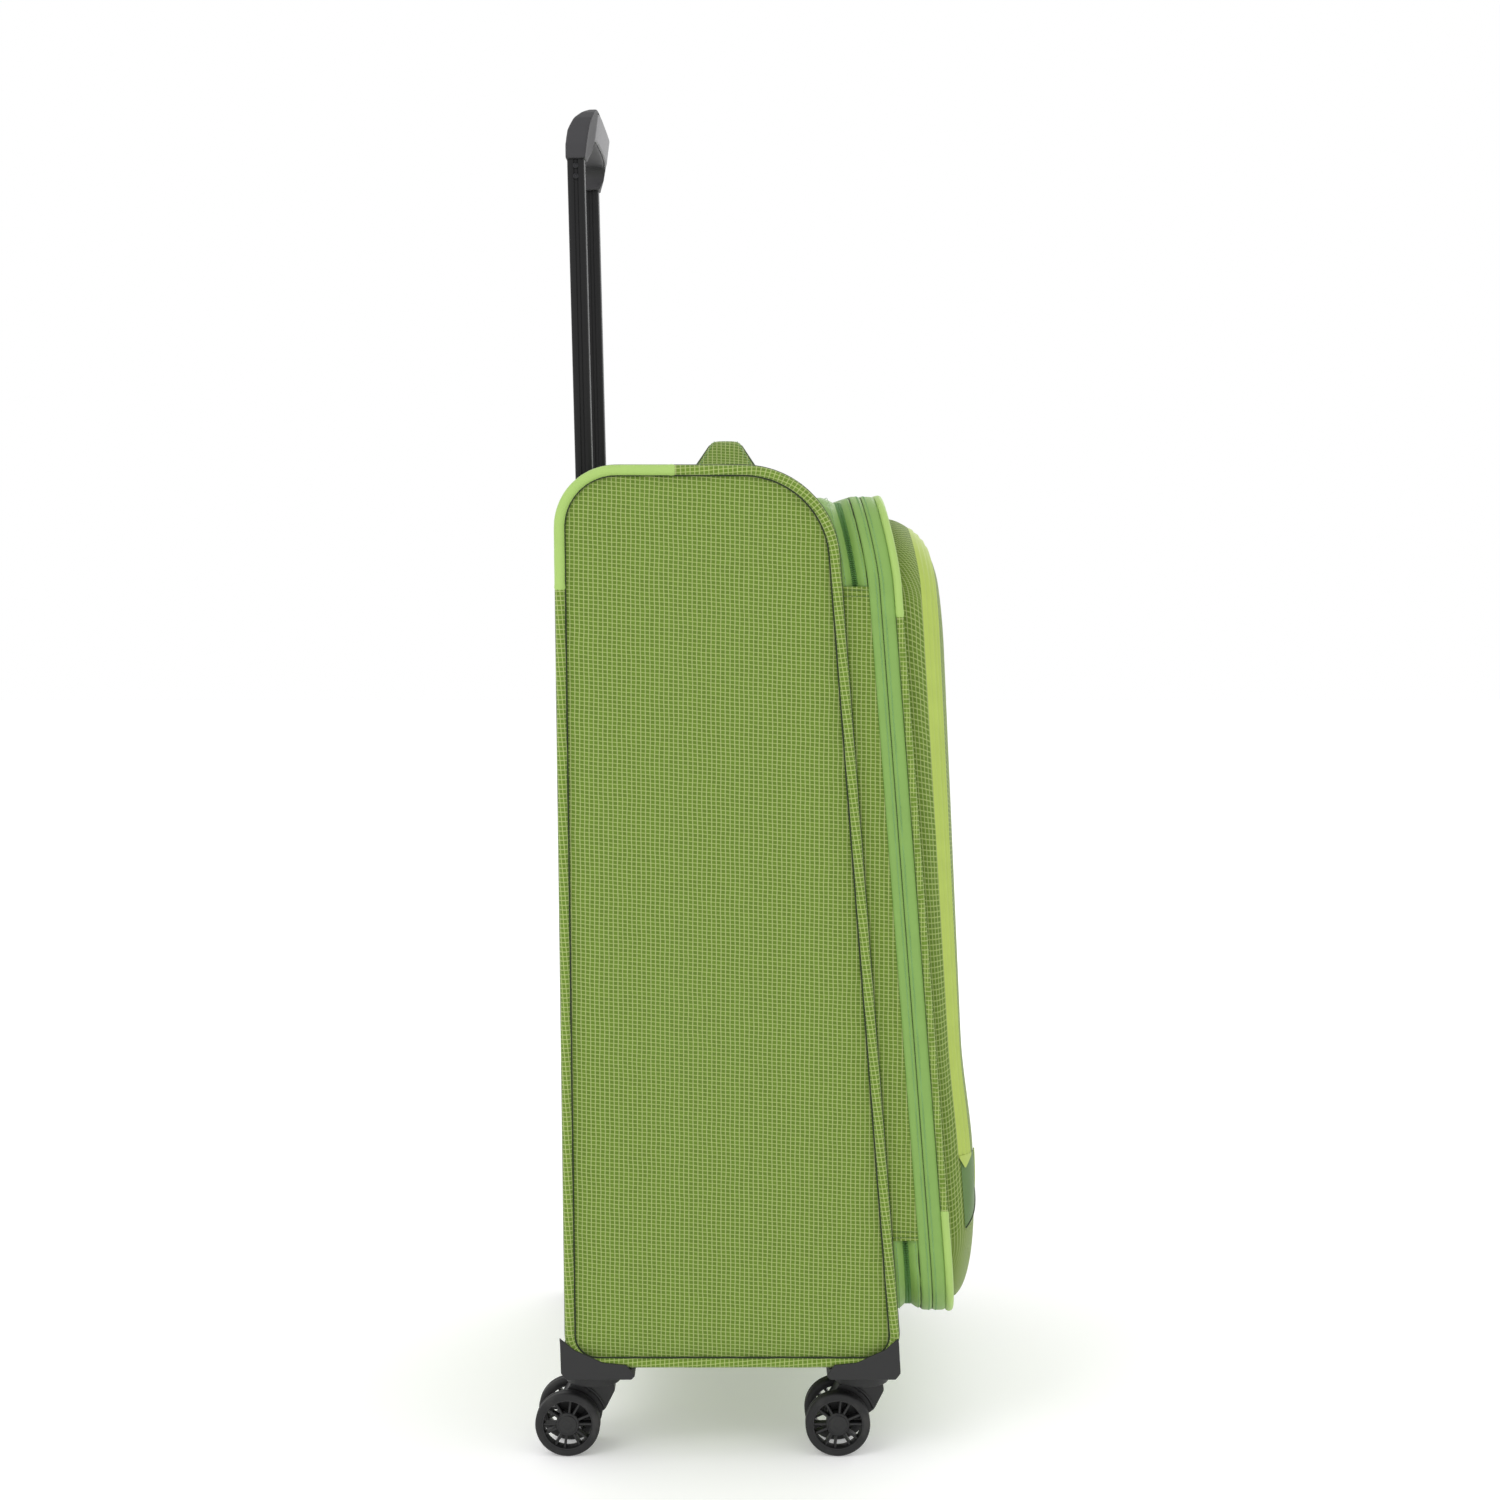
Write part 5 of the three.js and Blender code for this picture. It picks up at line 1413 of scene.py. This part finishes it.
def caster_pieces():
    """Wheels, yokes and corner shoes."""
    tyre, rim, cap = wheel_meshes()
    for place_name in CORNER_NAMES:
        for which in ("outer", "inner"):
            node = f"wheel_{which}_{place_name}"
            low, high = node_box(node)
            middle = (low + high) / 2
            middle[2] = WHEEL_RADIUS
            instance(f"rim_{which}_{place_name}", rim, middle, node, [node])
            instance(f"tyre_{which}_{place_name}", tyre, middle, node)
            instance(f"hub_cap_{which}_{place_name}", cap, middle, node)
        yoke_detail(place_name)
        shoe = f"shoe_moulding_{place_name}"
        moulded(shoe, f"shoe_{place_name}", "plastic", "case", 0.9, 4)


def yoke_detail(place_name):
    """The fork of a caster, with a rib along each side and its swivel pin."""
    body = f"caster_{place_name}"
    moulded(f"yoke_moulding_{place_name}", f"yoke_{place_name}", "yoke", body, 0.7, 5)
    low, high = node_box(f"axle_{place_name}")
    axle = (low + high) / 2
    trim = Piece()
    angles = np.linspace(math.radians(18), math.radians(72), 22)
    arc = np.stack([axle[0] + 30.5 * np.cos(angles), axle[2] + 30.5 * np.sin(angles)], 1)
    out = put(outward(arc, False), y=0.0)
    for way in (-1, 1):
        trim.skin(loop_tube(put(arc, y=axle[1] + way * 11.2), out, AXIS_Y, 1.3, 10), None, False, True)
    pin = np.array([axle[0] + 18, axle[1], axle[2] + 24])
    profile = [(-12.0, 0.02), (-12.0, 1.2), (-11.7, 1.6), (11.7, 1.6), (12.0, 1.2), (12.0, 0.02)]
    turned(trim, profile, 24, 1, pin, False)
    trim.build(f"yoke_trim_{place_name}", ["yoke", "rivet"], body, "black_plastic", sharp=40)


# ---------------------------------------------------------------------------------------
# Telescopic handle.


TUBE_Y = 100.0


def lean(points):
    """Puts points made upright about x = 0 onto the leaning axis of the handle."""
    points = np.asarray(points, float)
    x, y, z = points[..., 0], points[..., 1], points[..., 2] - BODY_TOP
    cos, sin = math.cos(TROLLEY_LEAN), math.sin(TROLLEY_LEAN)
    return np.stack([x * cos - z * sin + TROLLEY_X, y, x * sin + z * cos + BODY_TOP], -1)


def tube_section(deep, wide, groove):
    """Rounded oblong with a shallow groove in both outer sides."""
    corners = [(-deep / 2, -wide / 2), (deep / 2, -wide / 2), (deep / 2, wide / 2), (-deep / 2, wide / 2)]
    loop = rounded_loop(corners, [3.0] * 4, 6, (16, 12, 16, 12))
    near = np.clip(1 - np.abs(loop[:, 0]) / 1.9, 0, 1)
    dip = groove * np.minimum(1, near * 2.6) * (np.abs(loop[:, 1]) > wide / 2 - 0.5)
    loop[:, 1] -= np.sign(loop[:, 1]) * dip
    return loop


def trolley_pieces():
    """Sliding tubes, grip with its face, button and screws, and the bezel the tubes come out of."""
    grip_base = BODY_TOP + 251
    section = tube_section(14.0, 19.0, 0.9)
    for name, way in SIDES:
        heights = [BODY_TOP - 220, BODY_TOP - 219, *np.linspace(BODY_TOP - 210, grip_base, 24)]
        rows = [put(section + (0.0, way * TUBE_Y), z=z) for z in heights]
        tube = Piece().skin(lean(rows), None, False, True)
        nodes = [f"inner_tube_{name}"]
        tube.build(f"sliding_tube_{name}", ["tube"], "trolley", "black_tube", nodes, sharp=38)
    moulded("grip_moulding", "grip_shell", "grip", "trolley", 0.8, 6)
    moulded("grip_face_moulding", "grip_face", "grey", "trolley", 0.5, 5)
    moulded("grip_button_moulding", "grip_button", "grey", "grip_button", 0.4, 4)
    moulded("bezel_moulding", "trolley_bezel", "plastic", "case", 0.9, 3)
    screws = Piece()
    for way in (-1, 1):
        for z in (1036.0, 1027.5):
            profile = [(0.9, 0.02), (0.35, 0.9), (0.35, 1.3), (0.95, 1.5), (0.8, 2.0), (0.3, 2.4), (0, 2.5)]
            profile = [(way * distance, radius) for distance, radius in profile]
            turned(screws, profile, 24, 0, lean([0.0, way * (TUBE_Y + 9.3), z]), False)
    screws.build("grip_screws", ["rivet"], "trolley", "steel", sharp=40)


# ---------------------------------------------------------------------------------------
# Carry handles.


def handle_half(name, way, to_case, body, nodes):
    """One half of a padded strap: sewn end, rising shoulder and half of the grip."""
    along = np.linspace(-102, 0, 120)
    raised = smooth_step(np.clip((along + 84) / 30, 0, 1))
    half_wide = 25 - 12 * raised
    half_thick = 1.6 + 3.0 * raised
    path = np.stack([along, 2.0 + 18.6 * raised], 1)
    up = -outward(path, False)
    sides = 28
    cos, sin = np.cos(full_turn(sides)), np.sin(full_turn(sides))
    round_wide = np.sign(cos) * np.abs(cos) ** 0.62
    round_thick = np.sign(sin) * np.abs(sin) ** 0.75
    length = run_length(path, False)
    swollen = (half_thick * (1 + 0.05 * waves_along(length, 30.0, 61)))[:, None] * round_thick
    distance, height = path[:, :1] + up[:, :1] * swollen, path[:, 1:] + up[:, 1:] * swollen
    points = np.stack([half_wide[:, None] * round_wide, -way * distance, height], -1)
    across = np.concatenate([points[..., 0], points[:, :1, 0]], 1)
    weave = np.stack([across, np.broadcast_to(length[:, None], across.shape)], -1)
    piece = Piece().skin(to_case(points), weave, False, True)
    piece.fan(to_case(points[0]), points[0][:, :2])
    for edge in (-1, 1):
        centre = np.stack([edge * (half_wide + 0.1), -way * path[:, 0], path[:, 1]], 1)
        out = np.tile(edge * AXIS_X, (len(path), 1))
        upwards = put(up * (-way, 1), x=0.0)
        tube = loop_tube(centre, out, upwards[:, None], 1.25, 10)
        piece.skin(to_case(tube), tube_weave(centre, 1.2, 10, False), False, True, 1)
        at = np.arange(2.0, length[-1] - 1, 3.2)
        values = (*path.T, *up.T, half_wide - 3.2, half_thick * 0.93)
        y, z, up_y, up_z, beside, lift = (np.interp(at, length, value) for value in values)
        centres = np.stack([edge * beside, -way * (y + up_y * lift), z + up_z * lift], 1)
        normals = np.stack([at * 0, -way * up_y, up_z], 1)
        directions = np.cross(normals, AXIS_X)
        start, ahead, above = to_case(np.stack([centres, centres + directions, centres + normals]))
        piece.beads(start, ahead - start, above - start, (2.4, 0.6, 0.55), 2, sides=4)
    bend = [to_case(np.array([0.0, way * distance, 8.0])) for distance in (84.0, 60.0)]
    obj = piece.build(name, ["checked", "binding", "thread"], ("case", body, *bend), "checked_fabric", nodes)


def on_top(points):
    """Puts a handle made about its own middle onto the top of the case."""
    return points + np.array([-5.0, 0.0, BODY_TOP - 0.6])


def on_side(points):
    """Puts a handle made about its own middle onto the lock side of the case."""
    return np.stack([points[..., 0] - 25.0, SIDE - 1.1 + points[..., 2], BODY_MIDDLE - points[..., 1]], -1)


def carry_handles():
    """Top and side handle, each in two halves that bend from the case to the raised grip."""
    for name, to_case in (("top_handle", on_top), ("side_handle", on_side)):
        for half, way, nodes in (("one", -1, [name]), ("two", 1, [])):
            handle_half(f"{name}_strap_{half}", way, to_case, name, nodes)


# ---------------------------------------------------------------------------------------
# Lock and zip pulls.


def lock_pieces():
    """Combination lock with its dials and release, and the zip sliders with their pulls."""
    moulded("lock_moulding", "lock_body", "plastic", "case", 0.6, 3)
    moulded("lock_release_moulding", "lock_release", "grey", "lock_release", 0.35, 2)
    for number in (1, 2, 3):
        node = f"lock_dial_{number}"
        low, high = node_box(node)
        middle = (low + high) / 2
        steps = 40
        ring = np.stack([np.cos(full_turn(steps)), np.sin(full_turn(steps))], 1)
        rows = []
        for z, radius in (
            (-2.25, 0.05), (-2.25, 3.7), (-1.9, 4.3), (-1.6, 4.45), (1.6, 4.45), (1.9, 4.3), (2.25, 3.7),
            (2.25, 0.05),
        ):
            groove = 0.28 * (np.arange(steps) % 4 == 0) if radius > 4.4 else np.zeros(steps)
            rows.append(put(ring * (radius - groove)[:, None], z=z) + middle)
        dial = Piece().skin(np.array(rows), None, False, True)
        dial.build(f"dial_{number}", ["steel"], node, "steel", [node], sharp=40)
    for name in ("main_upper", "main_lower", "expansion"):
        body = "lid_rear" if name == "expansion" else "case"
        moulded(f"{name}_slider_moulding", f"{name}_slider", "plastic", body, 0.4, 4)
        moulded(f"{name}_pull_moulding", f"{name}_pull", "plastic", f"{name}_pull", 0.35, 2)


def keep_inner_parts():
    """Finishes for the solids that stay as they are inside the case and the casters."""
    looks = {"outer_tube_hinge": "steel", "outer_tube_lock": "steel", "trolley_foot": "plastic"}
    for corner in CORNER_NAMES:
        looks[f"axle_{corner}"] = "steel"
    for node, finish in looks.items():
        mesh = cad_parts[node].data
        mesh.materials.clear()
        mesh.materials.append(FINISHES[finish])


# ---------------------------------------------------------------------------------------
# Stage.


FLOOR_REACH = 9.0
CAMERA_LENS = 62.4
CAMERA_PLACE = (-0.0066, -2.271, 0.740)
CAMERA_DOWN = 4.84


def soft_light(name, where, towards, size, power):
    """An area light at a place, aimed at another one."""
    light = bpy.data.lights.new(name, "AREA")
    light.shape = "RECTANGLE"
    light.size, light.size_y = size
    light.energy = power
    obj = bpy.data.objects.new(name, light)
    bpy.context.scene.collection.objects.link(obj)
    obj.location = where
    obj.rotation_euler = (Vector(towards) - Vector(where)).to_track_quat("-Z", "Y").to_euler()


def studio():
    """Floor, even white surroundings, three soft lights and the camera."""
    scene = bpy.context.scene
    scene.view_settings.view_transform = "Standard"
    mesh = bpy.data.meshes.new("floor")
    steps = 6
    at = np.linspace(-FLOOR_REACH, FLOOR_REACH, steps)
    points = [(x, y, 0.0) for y in at for x in at]
    faces = [(r * steps + c, r * steps + c + 1, (r + 1) * steps + c + 1, (r + 1) * steps + c)
             for r in range(steps - 1) for c in range(steps - 1)]
    mesh.from_pydata(points, [], faces)
    mesh.materials.append(pale_floor("studio_floor"))
    floor = bpy.data.objects.new("studio_floor", mesh)
    scene.collection.objects.link(floor)
    world = bpy.data.worlds.new("studio")
    world.use_nodes = True
    background = world.node_tree.nodes["Background"].inputs
    background["Color"].default_value = (1, 1, 1, 1)
    background["Strength"].default_value = 1.0
    scene.world = world
    soft_light("key", (-1.9, -2.6, 2.9), (0, 0, 0.5), (1.6, 1.3), 26)
    soft_light("fill", (2.6, -2.6, 1.6), (0, 0, 0.5), (1.8, 1.8), 3)
    soft_light("rear", (1.5, 3.0, 2.4), (0, 0, 0.6), (2.0, 1.4), 20)
    lens = bpy.data.cameras.new("camera")
    lens.lens = CAMERA_LENS
    lens.sensor_width = 36
    camera = bpy.data.objects.new("camera", lens)
    camera.location = CAMERA_PLACE
    camera.rotation_euler = (math.radians(90 - CAMERA_DOWN), 0, 0)
    scene.collection.objects.link(camera)
    scene.camera = camera


# ---------------------------------------------------------------------------------------
# Operators and panel.


class SUITCASE_OT_stage(bpy.types.Operator):
    """Sets up the floor, the lights and the camera"""

    bl_idname = "suitcase.stage"
    bl_label = "Studio"

    def execute(self, context):
        studio()
        return {"FINISHED"}


class SUITCASE_OT_finishes(bpy.types.Operator):
    """Makes the materials from the colours and the cloth sizes"""

    bl_idname = "suitcase.finishes"
    bl_label = "Finishes"

    def execute(self, context):
        FINISHES.update(make_finishes(context.scene))
        return {"FINISHED"}


class SUITCASE_OT_case(bpy.types.Operator):
    """Builds the cloth, the side panels and the lining of the case"""

    bl_idname = "suitcase.case"
    bl_label = "Case"

    def execute(self, context):
        sizes = context.scene.suitcase_sizes
        wrap_cloth()
        for (name, way), ease, quilting in zip(SIDES, (0.8, 0.0), (1.0, 0.25)):
            side_cloth(name, way, sizes.panel_recess * 1000, ease, quilting)
            side_piping(name, way)
        lining_cloth_piece()
        return {"FINISHED"}


class SUITCASE_OT_lid(bpy.types.Operator):
    """Builds the bands, the piping, the face and the net of the lid"""

    bl_idname = "suitcase.lid"
    bl_label = "Lid"

    def execute(self, context):
        lid_pieces()
        return {"FINISHED"}


class SUITCASE_OT_zips(bpy.types.Operator):
    """Builds the main zip and the cloth hinge"""

    bl_idname = "suitcase.zips"
    bl_label = "Zips and hinge"

    def execute(self, context):
        sizes = context.scene.suitcase_sizes
        zip_pieces(sizes.stitch_length * 1000, sizes.tooth_pitch * 1000)
        hinge_cloth()
        return {"FINISHED"}


class SUITCASE_OT_pocket(bpy.types.Operator):
    """Builds the front pocket with its zip band and flap"""

    bl_idname = "suitcase.pocket"
    bl_label = "Pocket"

    def execute(self, context):
        pocket_pieces()
        return {"FINISHED"}


class SUITCASE_OT_casters(bpy.types.Operator):
    """Builds the wheels, the yokes and the corner shoes"""

    bl_idname = "suitcase.casters"
    bl_label = "Casters"

    def execute(self, context):
        caster_pieces()
        return {"FINISHED"}


class SUITCASE_OT_trolley(bpy.types.Operator):
    """Builds the telescopic handle"""

    bl_idname = "suitcase.trolley"
    bl_label = "Telescopic handle"

    def execute(self, context):
        trolley_pieces()
        return {"FINISHED"}


class SUITCASE_OT_handles(bpy.types.Operator):
    """Builds the top and the side carry handle"""

    bl_idname = "suitcase.handles"
    bl_label = "Carry handles"

    def execute(self, context):
        carry_handles()
        return {"FINISHED"}


class SUITCASE_OT_lock(bpy.types.Operator):
    """Builds the combination lock and the zip pulls, and finishes the inner parts"""

    bl_idname = "suitcase.lock"
    bl_label = "Lock and pulls"

    def execute(self, context):
        lock_pieces()
        keep_inner_parts()
        return {"FINISHED"}


STEPS = (
    SUITCASE_OT_stage, SUITCASE_OT_finishes, SUITCASE_OT_case, SUITCASE_OT_lid, SUITCASE_OT_zips,
    SUITCASE_OT_pocket, SUITCASE_OT_casters, SUITCASE_OT_trolley, SUITCASE_OT_handles, SUITCASE_OT_lock,
)


class SUITCASE_PT_panel(bpy.types.Panel):
    """Lists the suitcase's settings and its steps"""

    bl_idname = "SUITCASE_PT_panel"
    bl_label = "Suitcase"
    bl_space_type = "VIEW_3D"
    bl_region_type = "UI"
    bl_category = "Suitcase"

    def draw(self, context):
        for group in (context.scene.suitcase_sizes, context.scene.suitcase_colours):
            box = self.layout.box()
            for name in group.__annotations__:
                box.prop(group, name)
        for step in STEPS:
            self.layout.operator(step.bl_idname)


CLASSES = (SuitcaseSizes, SuitcaseColours, *STEPS, SUITCASE_PT_panel)


def register():
    for each in CLASSES:
        bpy.utils.register_class(each)
    bpy.types.Scene.suitcase_sizes = PointerProperty(type=SuitcaseSizes)
    bpy.types.Scene.suitcase_colours = PointerProperty(type=SuitcaseColours)


def unregister():
    del bpy.types.Scene.suitcase_colours
    del bpy.types.Scene.suitcase_sizes
    for each in reversed(CLASSES):
        bpy.utils.unregister_class(each)


def main():
    register()
    for step in STEPS:
        group, name = step.bl_idname.split(".")
        getattr(getattr(bpy.ops, group), name)()


if __name__ == "__main__":
    main()
